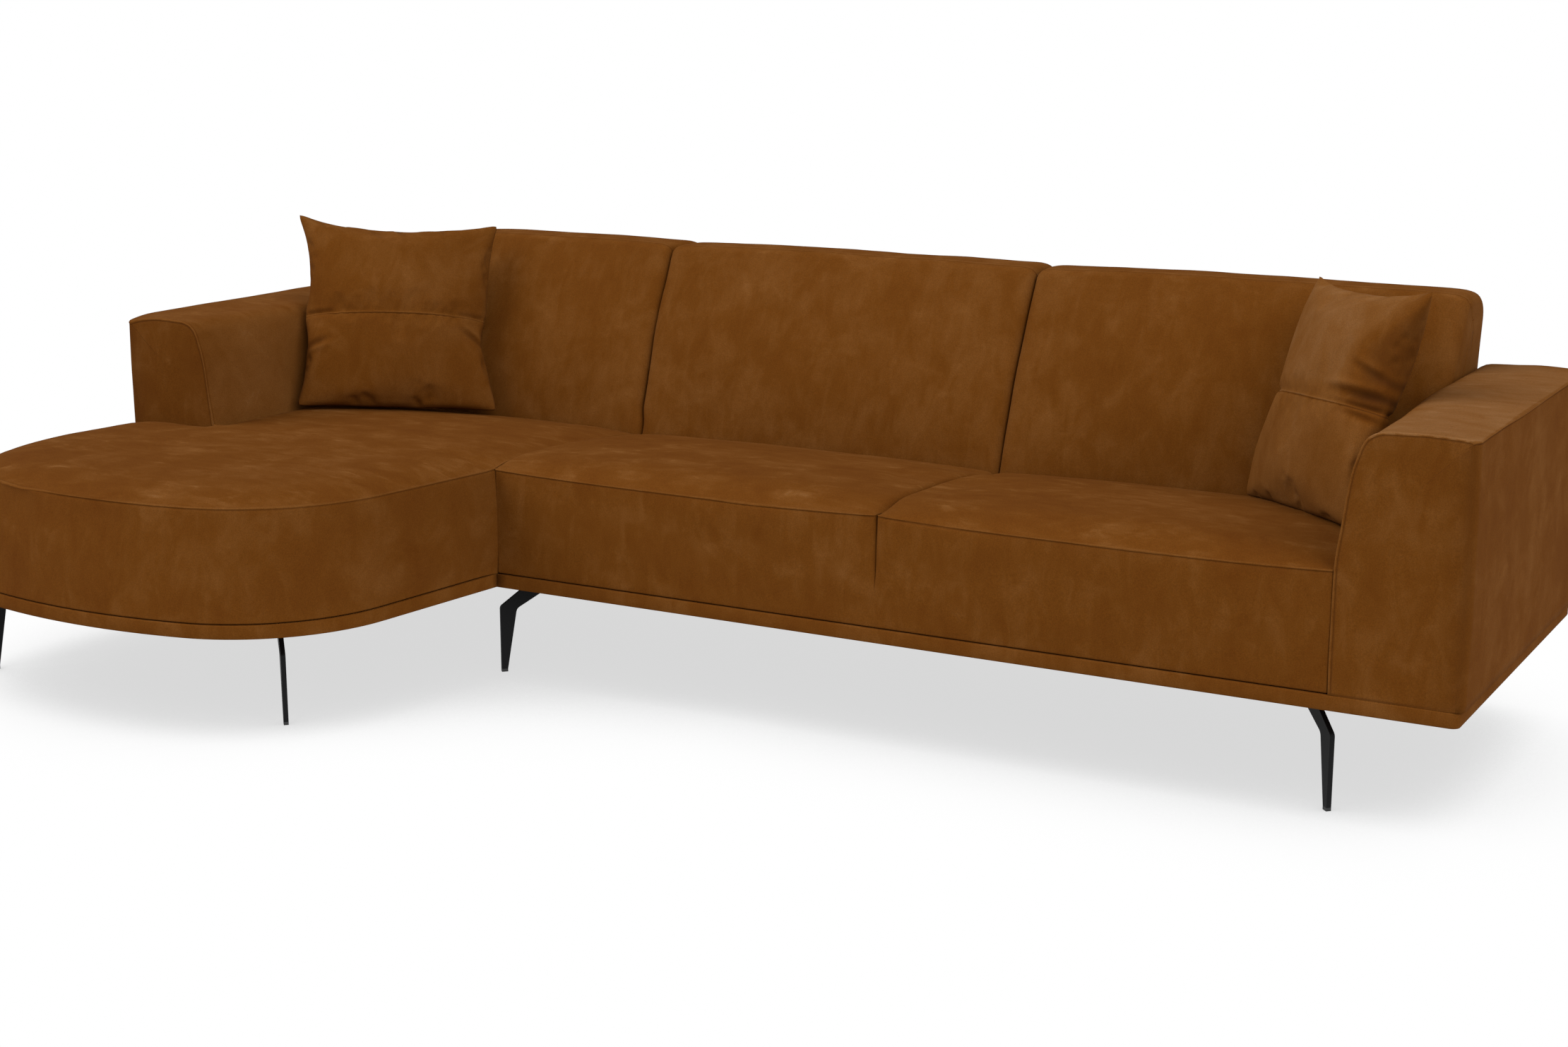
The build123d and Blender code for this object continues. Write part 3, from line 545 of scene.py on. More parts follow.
for part in frame["record"]["subparts"]:
    node_mesh = frame["nodes"][part["node"]].data
    node_mesh.materials.clear()
    node_mesh.materials.append(slot_finishes[part["material_slot"]])


# Rows at the foot of a panel: depth behind its face and height
foot_rows = [(tucked_under, z_under)]
foot_rows += [(back, z_foot + lift) for back, lift in quarter(foot_radius, 5)]
# Sewn edge between a panel and a top, with a groove below and a small welt on the edge:
# height from the seam, depth behind the panel, seam mark (painted shade in the groove, rubbed pale nap on the
# welt)
welt_steps = [
    (-5.5, 0.0, 0.0), (-3.6, 0.3, -0.15), (-2.4, 0.9, -0.4), (-1.6, 0.4, -0.15), (-0.9, -0.8, 0.2),
    (0.3, -1.0, 0.35), (1.3, 0.2, 0.25), (1.4, 1.6, 0.0),
]
welt_foot = 9.0             # the plain panel ends this far below the seam
panel_count = 17


def sewn_panel(add_row, z_edge, nap=0.0):
    """Rows of a panel and its welt; add_row takes a height, a depth behind the panel and a seam mark, and nap is
    the plain panel's mark, painted shade on the chaise's wall.
    """
    low = z_foot + foot_radius
    for share in np.linspace(0, 1, panel_count + 1)[1:]:
        add_row(low + share * (z_edge - welt_foot - low), 0.0, nap)
    for lift, back, mark in welt_steps:
        add_row(z_edge + lift, back, mark)


# Seats of the two-seat module
seat_depths = [0.0, 60.0, 113.0, 171.0, 290.0, 415.0, 530.0]
seat_edge_heights = [435.0, 436.0, 436.5, 435.0, 430.5, 419.0, 404.0]
seat_crowns = [9.0, 10.0, 10.5, 11.0, 11.5, 11.0, 9.0]
seat_set_back = 2.0         # the front panel stands this far behind the arms' front
seam_height = 417.0
seam_corner_lift = 6.0
seat_rise = 95.0            # length over which a seat rises behind its front seam
front_belly = 2.5
slit_end = 284.0
slit_full = 335.0
slit_depth = 14.0
slit_radius = 8.0
slit_width = 0.3
split_crease = 8.0          # the tops dip this far towards each other
end_crease = 1.5            # and at the module's ends
crease_width = 5.0
crease_start = 25.0
seat_end_radius = 4.0
back_tuck = 15.0            # rounding where a seat runs under the back
seat_steps = [3.2, 5.0, 7.5, 11.0, 16.0, 23.0, 32.0, 43.0]      # rows of the top behind the seam
seat_count = 35
seat_rear_rows = [360.0, 300.0, z_under]

# Margins in which a cover is fixed to the frame or hidden by its neighbour
foot_margin = 12.0
side_margin = 3.0
rear_margin = 20.0
hidden_height = 300.0


def seat_cover():
    """Both seats with their front panel; the slit between them closes towards the plinth."""
    right_part = spaced(x_split, x_arm_right - cover_gap)
    x = np.concatenate([spaced(x_joint + cover_gap, x_split), right_part[1:]])
    middle = np.where(x <= x_split, (x_joint + x_split) / 2, (x_split + x_arm_right) / 2)
    across = np.clip(np.abs(x - middle) / (seat_width / 2), 0.0, 1.0)
    from_split = np.abs(x - x_split)
    from_end = np.minimum(x - x[0], x[-1] - x)
    z_edge = seam_height + seam_corner_lift * across**3
    y_panel = y_front + seat_set_back
    y_end = y_back - cover_gap
    rows = Rows()

    def front(z):
        """Depth of the front panel at a height."""
        share = np.clip((z - z_foot) / (z_edge - z_foot), 0.0, 1.0)
        belly = front_belly * np.sin(math.pi * share) * (1 - across**4)
        opened = smooth_step((z - slit_end) / (slit_full - slit_end))
        slit = round_over(from_split, slit_radius) + slit_depth * (from_split < slit_width)
        return y_panel - belly + round_over(from_end, seat_end_radius) + opened * slit

    def top(y):
        """Height of the seats at a depth."""
        depth = y - y_panel
        full = smooth_curve(seat_depths, seat_edge_heights, depth)
        full = full + smooth_curve(seat_depths, seat_crowns, depth) * (1 - across**3.2) ** 0.5
        rise = 1 - running_out(depth, seat_rise, 2.2)
        crease = split_crease * np.exp(-from_split / crease_width) + end_crease * np.exp(-from_end / crease_width)
        return z_edge + (full - z_edge) * rise - crease * smooth_step(depth / crease_start)

    for back, z in foot_rows:
        rows.add(x, front(z_foot) + back, z)
    sewn_panel(lambda z, back, mark: rows.add(x, front(z) + back, z, mark), z_edge)
    start = front(z_edge)
    flat_start = start + seat_steps[-1]
    flat_end = y_end - back_tuck
    for y in [start + step for step in seat_steps] + list(np.linspace(flat_start, flat_end, seat_count + 1)[1:]):
        rows.add(x, y, top(y))
    for back, drop in quarter(back_tuck, 7)[1:]:
        rows.add(x, y_end - back, top(flat_end) - drop)
    for z in seat_rear_rows:
        rows.add(x, y_end, z)
    rows.add(x, (y_front + y_back) / 2, z_under)
    net, marks = rows.stacked()
    cover = Cover("seat_cover")
    cover.net(np.transpose(net, (1, 0, 2)), marks.T, closed=True)
    return cover.made()


def seat_held(x, y, z):
    """Where the seat cover is fixed: underside, rear and ends."""
    inside = (y > y_front + rear_margin) & (z < hidden_height)
    ends = (x < x_joint + side_margin) | (x > x_arm_right - side_margin)
    return inside | ends | (y > y_back - rear_margin) | (z < z_base + foot_margin)


seats = settle(
    seat_cover(),
    replaced=("seat_cushion_middle", "seat_cushion_right", "sofa_seat_border"),
    waves=((260.0, 0.9), (90.0, 0.25)),
    seed=11,
    held=seat_held,
)


# Chaise: outline of the nose as in the frame, leaning in towards the seam
nose_skew = 55.0
nose_bow = 100.0
nose_radius = 310.0
nose_step = 18.0
nose_shoulder = 200.0
shoulder_radius = 300.0
nose_lean = 32.0
nose_side_lean = 14.0
line_count = 24
corner_count = 26
front_count = 30
joint_count = 40
arm_columns = 13            # net columns of the nose that end at the arm's front
turn_count = 6              # last points of the wall, which turns to meet the arm
foot_ease = 4               # points over which the tucked foot starts beside the joint
joint_inset = -0.3          # the wall stands a little past the joint
nose_inset = 1.0            # and a little inside the nose's line
chaise_seam = 423.0
chaise_rise = 150.0
chaise_depths = [-640.0, -560.0, -400.0, -200.0, 0.0, 113.0, 200.0, 290.0, 415.0, 530.0]
chaise_heights = [438.0, 442.0, 447.0, 449.0, 448.0, 447.0, 445.0, 441.0, 430.0, 413.0]
joint_depths = [-20.0, 0.0, 30.0, 72.0, 143.0, 242.0, 344.0, 449.0, 530.0]
joint_heights = [423.0, 424.5, 430.0, 433.0, 433.0, 429.0, 425.0, 416.0, 404.0]
rim_steps = [2.2, 4.0, 6.5, 10.0, 15.0, 22.0, 32.0, 44.0]       # rows of the top behind the seam
wall_belly = 3.5
wall_painted_shade = -0.08            # painted shade: the chaise's wall is drawn a little darker
arm_dip = 9.0               # the top dips this far beside the arm
arm_dip_width = 16.0
rear_dip = 1.2              # drop under the back, as a share of its rounding
joint_margin = 5.0


def arc_points(centre, start, end, count):
    """Points on the shorter arc from start to end."""
    first = math.atan2(*(start - centre)[::-1])
    last = math.atan2(*(end - centre)[::-1])
    turn = (last - first + math.pi) % (2 * math.pi) - math.pi
    angles = first + np.linspace(0, 1, count + 1) * turn
    return centre + np.linalg.norm(start - centre) * np.stack([np.cos(angles), np.sin(angles)], axis=-1)


def tangent_arc(start, corner, side, arc_centre, arc_radius):
    """Centre and touch points of the rounding between a side line and the bowed front line."""
    along = unit(corner - start)
    moved = start + side * left_of(along) * nose_radius
    base = moved - arc_centre
    half = base @ along
    reach = math.sqrt(half * half - base @ base + (arc_radius - nose_radius) ** 2) - half
    centre = moved + along * reach
    return centre, start + along * reach, arc_centre + unit(centre - arc_centre) * arc_radius


def nose_line(lean):
    """Plan line of the nose's wall from the seat joint round to the arm; lean is the share of its set-back."""
    side = lean * nose_side_lean
    y_tip = y_nose + lean * nose_lean
    joint = np.array([x_joint, y_front])
    right = np.array([x_joint - nose_skew - side, y_tip + nose_bow])
    left = np.array([x_nose + side, y_tip + nose_bow])
    shoulder = np.array([x_nose + side / 2, y_front - nose_shoulder])
    end = np.array([x_left - nose_step, y_front])
    half = (right[0] - left[0]) / 2
    radius = (half * half + nose_bow * nose_bow) / (2 * nose_bow)
    centre = np.array([(right[0] + left[0]) / 2, y_tip + radius])
    right_centre, right_line, right_front = tangent_arc(joint, right, -1.0, centre, radius)
    left_centre, left_line, left_front = tangent_arc(shoulder, left, 1.0, centre, radius)
    to_left = unit(left - shoulder)
    to_end = unit(end - shoulder)
    bend = math.acos(np.clip(-to_left @ to_end, -1.0, 1.0))
    ease = shoulder_radius * math.tan(bend / 2)
    ease_start = shoulder + to_left * ease
    ease_end = shoulder + to_end * ease
    third = line_count // 3
    sections = [
        np.linspace(joint, right_line, line_count + 1),
        arc_points(right_centre, right_line, right_front, corner_count),
        arc_points(centre, right_front, left_front, front_count),
        arc_points(left_centre, left_front, left_line, corner_count),
        np.linspace(left_line, ease_start, third + 1),
        eased(ease_start, shoulder, ease_end, third),
        np.linspace(ease_end, end, third + 1),
    ]
    return np.concatenate([sections[0]] + [section[1:] for section in sections[1:]])


def inward_of(path):
    """Unit directions to the inner side of a plan line that keeps its inside on the right."""
    return -left_of(unit(np.gradient(path, axis=0)))


def wall_line(lean):
    """Chaise wall in plan: along the seat joint from the back, then round the nose."""
    joint = np.linspace((x_joint, y_back - cover_gap), (x_joint, y_front), joint_count + 1)
    path = np.concatenate([joint, nose_line(lean)[1:]])
    inner = inward_of(path)
    inner[: joint_count + 1] = (-1.0, 0.0)
    turned = np.linspace(0, 1, turn_count + 1)[1:, None]
    inner[-turn_count:] = unit((1 - turned) * inner[-turn_count:] + turned * np.array([1.0, 0.0]))
    inset = np.where(np.arange(len(path)) <= joint_count, joint_inset, nose_inset)
    return path + inner * inset[:, None], inner


def chaise_cover():
    """Chaise seat: leaning wall, sewn edge, domed top, and hidden sides at the joint, arm and back."""
    cover = Cover("chaise_cover")
    rows = Rows()
    foot, _ = wall_line(0.0)
    edge, inner = wall_line(1.0)
    depth = edge[:, 1] - y_front
    z_edge = np.where(depth > joint_depths[0], smooth_curve(joint_depths, joint_heights, depth), chaise_seam)

    def wall(z, back, mark):
        """Adds a row of the wall."""
        share = np.clip((z - z_foot) / (z_edge - z_foot), 0.0, 1.0)[:, None]
        plan = foot + (edge - foot) * share + inner * (back - wall_belly * np.sin(math.pi * share))
        rows.add(*plan.T, z, mark)

    def top(plan):
        """Height of the chaise seat at points of its plan."""
        flat = plan.reshape(-1, 2)
        gaps = np.linalg.norm(flat[:, None, :] - edge[None, :, :], axis=2)
        z_near = z_edge[gaps.argmin(axis=1)]
        full = smooth_curve(chaise_depths, chaise_heights, flat[:, 1] - y_front)
        z = z_near + (full - z_near) * (1 - running_out(gaps.min(axis=1), chaise_rise, 2.4))
        beside = np.where(flat[:, 1] > y_front, flat[:, 0] - x_arm_left, far_off)
        before = np.where(flat[:, 0] < x_arm_left, y_front - flat[:, 1], far_off)
        from_arm = np.minimum(np.abs(beside), np.abs(before))
        z = z - arm_dip * np.exp(-from_arm / arm_dip_width)
        z = z - rear_dip * round_over(y_back - flat[:, 1], back_tuck)
        return z.reshape(plan.shape[:-1])

    tucked = inner * smooth_step((np.arange(len(edge)) - joint_count) / foot_ease)[:, None]
    for back, z in foot_rows:
        rows.add(*(foot + tucked * back).T, z)
    sewn_panel(wall, z_edge, wall_painted_shade)
    for step in rim_steps:
        plan = edge + inner * step
        rows.add(*plan.T, top(plan))
    cover.net(*rows.stacked())

    # The top inside the rim: a patch over the nose and a plain net from there to the back
    inside = edge + inner * rim_steps[-1]
    columns = front_count + corner_count
    first_corner = joint_count + line_count + corner_count // 2
    last_corner = first_corner + columns
    rear_x = np.linspace(inside[joint_count, 0], x_arm_left, columns - arm_columns + 1)
    arm_x = np.linspace(x_arm_left, inside[-1, 0], arm_columns + 1)[1:]
    near_x = np.concatenate([rear_x, arm_x])
    near = np.stack([near_x, np.full(columns + 1, y_front)], axis=-1)
    near[0] = inside[joint_count]
    near[-1] = inside[-1]
    far = inside[first_corner : last_corner + 1]
    nose = coons(near, far, inside[joint_count : first_corner + 1], inside[last_corner:][::-1])
    rear = np.stack(np.meshgrid(rear_x, inside[: joint_count + 1, 1]), axis=-1)
    rear[-1] = near[: len(rear_x)]
    for plan in (nose, rear):
        cover.net(np.concatenate([plan, top(plan)[..., None]], axis=-1))
    return cover.made(skirt=z_under)


def chaise_held(x, y, z):
    """Where the chaise cover is fixed: underside, rear, and the sides at the joint and the arm."""
    beside = (x > x_joint - side_margin) | (x < x_arm_left + side_margin)
    beside = beside & (y > y_front - joint_margin)
    return beside | (y > y_back - rear_margin) | (z < z_base + foot_margin)


chaise = settle(
    chaise_cover(),
    replaced=("chaise_cushion", "chaise_seat_border"),
    waves=((280.0, 0.9), (90.0, 0.25)),
    seed=12,
    held=chaise_held,
)


# Ends of backs and arms: rings from the edge loop towards a spine
cap_steps = [0.0, 1.2, 2.6, 4.5, 7.5, 12.0, 18.0, 26.0, 36.0, 48.0, 60.0, 72.0, 84.0, 97.0]
cap_reach = 100.0
cap_swell_run = 24.0


def capped(loop, spine, outwards, swell, seam_steps=()):
    """Rings that close a cover's end and swell outwards in the middle, with their distances from its edge."""
    places = np.array(sorted({*cap_steps, *seam_steps}))
    shares = places[:, None, None] / cap_reach
    rings = loop[None] * (1 - shares) + spine[None] * shares
    low, high = loop.min(axis=0), loop.max(axis=0)
    wide = outwards == 0
    across = (2 * rings - low - high)[..., wide] / (high - low)[wide]
    lift = swell * np.prod(1 - across**2, axis=-1) * smooth_step(places / cap_swell_run)[:, None]
    return rings + outwards * lift[..., None], places


# Backs
back_face_start = 404.0
back_foot_rows = [z_foot, 280.0, 340.0, 380.0]
back_foot_inset = 1.0
back_top_depth = 133.0      # top front edge, in front of the rear face
back_top_lift = 5.0
back_top_crown = 2.5
back_edge_drop = 4.0
back_corner_drop = 7.0
back_corner = 34.0
outer_rise = 210.0          # length over which the top runs up or down to the outer end
outer_corner_drop = 6.0
outer_corner = 70.0
back_bulge = 25.0
back_edge_bulge = 8.0
back_front_radius = 15.0
back_rear_radius = 46.0
back_end_radius = 13.0
back_rear_inset = 1.0
rear_hem = 3.2              # at the rear the cover runs in this far to the plinth
back_lean_start = 424.0
back_end_lean = 0.045
back_shoulder = 9.0         # outer ends spread this far above the arms
shoulder_start = 470.0
shoulder_run = 120.0
joint_press = 7.0           # the middle back presses over the front of the chaise's back
joint_press_run = 40.0
joint_lean = 0.038
press_depth = 15.0          # behind the top front edge the press runs out
press_run = 85.0
lean_reach = 140.0          # length from an end that leans with it
back_nap = 0.1
back_outer_painted_light = 0.24       # painted light, paler towards the outer ends
back_light_reach = 170.0
back_end_painted_light = 0.4          # and painted light on the ends themselves
back_end_light_run = 12.0
back_end_swell = 4.0
gusset_place = 55.0         # seam on a back's end, behind its front edge
gusset_steps = [gusset_place + step for step in (-3.0, -1.2, 0.0, 1.2, 3.0)]
gusset_width = 1.3
gusset_depth = 1.4
# the gusset seam's groove gets this much painted shade
gusset_mark = 1.2
gusset_reach = 40.0         # the seam ends this far behind the top front edge
back_spine_low = 60.0
back_spine_high = 70.0
back_face_count = 34
back_top_count = 8
back_rear_count = 26
rear_inset_rate = 8.0       # the rear's inset grows over an eighth of its height
back_held_ends = 22.0
back_held_rear = 30.0
# Sewn top front edge: share of the bend, how far it stands proud, seam mark (painted shade in the groove, rubbed
# pale nap on the welt)
back_edge_steps = [
    (0.2, 0.0, 0.0), (0.4, 0.0, 0.0), (0.58, 0.0, 0.0), (0.72, 0.0, 0.0), (0.8, -0.3, -0.15),
    (0.86, -0.7, -0.55), (0.91, 0.1, 0.05), (0.96, 0.6, 0.3), (1.0, 0.3, 0.1),
]


def back_cover(name, x0, x1, press, outer, outer_lift):
    """One back: leaning padded front panel, sewn top edge, rounded rear, and closed ends.

    Press says which way the left and the right end are pressed at the front, outer which end stands free.
    """
    x = spaced(x0, x1)
    from_end = np.minimum(x - x0, x1 - x)
    from_outer = {-1: x - x0, 0: np.full(len(x), far_off), 1: x1 - x}[outer]
    across = np.abs(2 * (x - x0) / (x1 - x0) - 1)
    bulge = back_edge_bulge + (back_bulge - back_edge_bulge) * (1 - across**2.6) ** 0.7
    z_top = z_back + back_top_lift - back_edge_drop * across**2.4
    z_top = z_top - back_corner_drop * running_out(from_end, back_corner)
    z_top = z_top + outer_lift * smooth_step(1 - from_outer / outer_rise)
    z_top = z_top - outer_corner_drop * running_out(from_outer, outer_corner)
    y_top = y_rear - back_top_depth
    rows = Rows()
    for z in back_foot_rows:
        rows.add(x, y_back + back_foot_inset, z)
    radius = back_front_radius
    slope = np.arctan2(y_top - y_back, z_top - back_face_start)
    end_y = y_top - radius * np.sin(slope)
    end_z = z_top - radius * np.cos(slope)
    for share in np.linspace(0, 1, back_face_count):
        swell = bulge * math.sin(math.pi * share**0.92) ** 0.9
        y = y_back + share * (end_y - y_back) - swell * np.cos(slope)
        rows.add(x, y, back_face_start + share * (end_z - back_face_start) + swell * np.sin(slope))
    half_bend = (math.pi / 2 + slope) / 2
    bend_radius = radius * np.tan(half_bend)
    centre_y = y_top + radius
    centre_z = z_top - bend_radius
    for share, proud, mark in back_edge_steps:
        angle = math.pi - slope - share * (math.pi / 2 - slope)
        reach = bend_radius + proud
        rows.add(x, centre_y + reach * np.cos(angle), centre_z + reach * np.sin(angle), mark)
    for share in np.linspace(0, 1, back_top_count)[1:]:
        y = y_top + radius + share * (back_top_depth - radius - back_rear_radius)
        rows.add(x, y, z_top + back_top_crown * math.sin(math.pi * share))
    for back, drop in quarter(back_rear_radius, 9)[1:]:
        rows.add(x, y_rear - back, z_top - drop)
    z_rear = z_top - back_rear_radius
    for share in np.linspace(0, 1, back_rear_count)[1:]:
        inset = back_rear_inset * smooth_step(share * rear_inset_rate)
        rows.add(x, y_rear - inset, z_rear + share * (z_foot - z_rear))
    rows.add(x, y_rear - rear_hem, z_under)

    net, marks = rows.stacked()
    net, marks = np.transpose(net, (1, 0, 2)), marks.T
    profile = net[..., 1:]
    outwards = unit(left_of(np.roll(profile, -1, axis=1) - np.roll(profile, 1, axis=1)))
    net[..., 1:] = profile - outwards * round_over(from_end, back_end_radius)[:, None, None]

    def aside(end, y, z):
        """How far an end stands aside from its foot at a depth and a height."""
        height = np.maximum(z - back_lean_start, 0.0)
        if end == outer:
            spread = back_shoulder * smooth_step((z - shoulder_start) / shoulder_run)
            return end * (back_end_lean * height + spread)
        on_front = 1 - smooth_step((y - y_top - press_depth) / press_run)
        pressed = joint_press * smooth_step(height / joint_press_run) + joint_lean * height
        return press[end] * pressed * on_front

    lean_left = aside(-1, net[..., 1], net[..., 2]) * smooth_step(1 - (x - x0) / lean_reach)[:, None]
    lean_right = aside(1, net[..., 1], net[..., 2]) * smooth_step(1 - (x1 - x) / lean_reach)[:, None]
    net[..., 0] += lean_left + lean_right
    # Painted light: the mark grows paler towards a free outer end
    nap = back_nap + (back_outer_painted_light - back_nap) * smooth_step(1 - from_outer / back_light_reach)
    cover = Cover(name)
    cover.net(net, np.clip(marks + nap[:, None], -1.0, 1.0), closed=True)
    for column, end in ((0, -1), (-1, 1)):
        loop = net[column]
        z_spine = np.clip(loop[:, 2], z_base + back_spine_low, z_back - back_spine_high)
        share = np.clip((z_spine - back_face_start) / (z_back - back_face_start), 0.0, 1.0)
        y_spine = (y_back + share * (y_top - y_back) + y_rear) / 2
        x_spine = x[column] + aside(end, y_spine, z_spine)
        spine = np.stack([x_spine, y_spine, z_spine], axis=-1)
        proud = np.array([end, 0.0, 0.0])
        rings, places = capped(loop, spine, proud, back_end_swell if end == outer else 0.0, gusset_steps)
        ring_marks = 0.0
        if end == outer:
            on_face = (loop[:, 2] > back_foot_rows[-1]) & (loop[:, 1] < y_top + gusset_reach)
            sunk = bell(places - gusset_place, gusset_width)[:, None] * on_face
            rings = rings - proud * gusset_depth * sunk[..., None]
            # Painted light on the outer end, painted shade in the gusset seam's groove
            edge_painted_light = (back_outer_painted_light - back_end_painted_light) * np.exp(-places / back_end_light_run)
            ring_marks = back_end_painted_light + edge_painted_light[:, None] - gusset_mark * sunk
        cover.net(rings, ring_marks, closed=True)
    return cover.made()


def back_held(x, y, z):
    """Where a back cover is fixed: foot, rear and ends."""
    ends = (x < x.min() + back_held_ends) | (x > x.max() - back_held_ends)
    return ends | (z < back_face_start) | (y > y_rear - back_held_rear)


joint_gap = 1.0
arm_gap = 0.5
back_places = {
    "left": (x_arm_left + arm_gap, x_joint - joint_gap, {1: -1.0}, -1, -13.0),
    "middle": (x_joint + joint_gap, x_split - joint_gap, {-1: -1.0, 1: 0.0}, 0, 0.0),
    "right": (x_split + joint_gap, x_arm_right - arm_gap, {-1: 0.0}, 1, 3.0),
}
for seed, (side, place) in enumerate(back_places.items(), 21):
    settle(
        back_cover("back_cover_" + side, *place),
        replaced=("back_pad_" + side, "back_panel_" + side),
        waves=((240.0, 1.0), (85.0, 0.25)),
        seed=seed,
        held=back_held,
    )


# Arms: inner side as distance from the outer face and height from the arm's top
arm_inner_line = [
    (123.0, 0.6), (148.0, -0.4), (166.0, -5.5), (179.0, -15.5), (188.0, -35.0), (196.0, -59.0),
    (205.0, -105.0), (211.0, -152.0), (216.0, -187.0), (219.5, -215.0), (220.6, -255.0),
]
# The same near the back, where the shoulder is squarer
arm_rear_line = [
    (123.0, 0.8), (160.0, 0.0), (182.0, -3.0), (194.0, -11.0), (201.0, -27.0), (206.0, -57.0),
    (211.0, -105.0), (214.0, -152.0), (217.0, -187.0), (219.5, -215.0), (220.6, -255.0),
]
# Sewn edge on the outer side: distance from the outer face, height from the top, painted shade in the groove,
# share of the top's painted sheen and rubbed nap
arm_edge_steps = [
    (1.2, -7.5, 0.0, 0.0), (1.5, -6.0, -0.2, 0.0), (2.2, -5.0, -0.7, 0.0), (1.4, -4.2, -0.1, 0.0),
    (0.2, -3.4, 0.0, 0.4), (0.4, -1.9, 0.0, 0.6), (1.5, -0.8, 0.0, 0.6), (3.2, -0.6, 0.0, 0.5),
]
arm_top_places = [6.0, 10.0, 16.0, 24.0, 34.0, 46.0, 58.0, 70.0, 82.0, 94.0, 108.0]
arm_side_inset = 1.2
arm_side_belly = 1.6
arm_side_end = 11.0         # the plain outer side ends this far below the top
arm_crown = 2.6
arm_crown_width = 150.0
arm_inner_count = 34
arm_side_count = 30
arm_low_count = 14
squarer_run = 520.0         # length over which the shoulder grows squarer
arm_front_radius = 13.0
arm_seam_radius = 2.4
arm_rear_top_radius = 42.0
arm_rear_side_radius = 15.0
arm_sag_length = 80.0       # the outer front corner of the top sags over this length
arm_sag_width = 90.0
arm_sag_height = 90.0
top_sheen_drop = 22.0         # the top's painted sheen and rubbed nap end this far down the inner side
top_sheen_run = 18.0
rear_pale_fade = 75.0        # the rubbed nap and painted light end over this length above the rear edge
front_ridge = 2.2           # welt along the front edge, behind the front face
front_ridge_width = 1.3
front_ridge_height = 1.1
front_ridge_mark = 0.3
front_groove = 5.2          # and the groove behind it, with painted shade in it
front_groove_width = 1.2
front_groove_depth = 0.9
front_groove_mark = 0.6
corner_painted_shade = 0.3           # painted shade on the unsewn front corner, where it rounds away
corner_shade_side = 9.0
corner_shade_front = 22.0
cap_seam = 1.6              # the front's own seam, inside its edge, with painted shade in its groove
cap_seam_width = 1.2
cap_seam_depth = 0.9
cap_seam_mark = 0.6
arm_front_swell = 3.0
arm_rear_swell = 1.0
arm_spine = 0.48            # place of the ends' spine, share of the arm's width
arm_spine_low = 96.0
arm_spine_high = 100.0


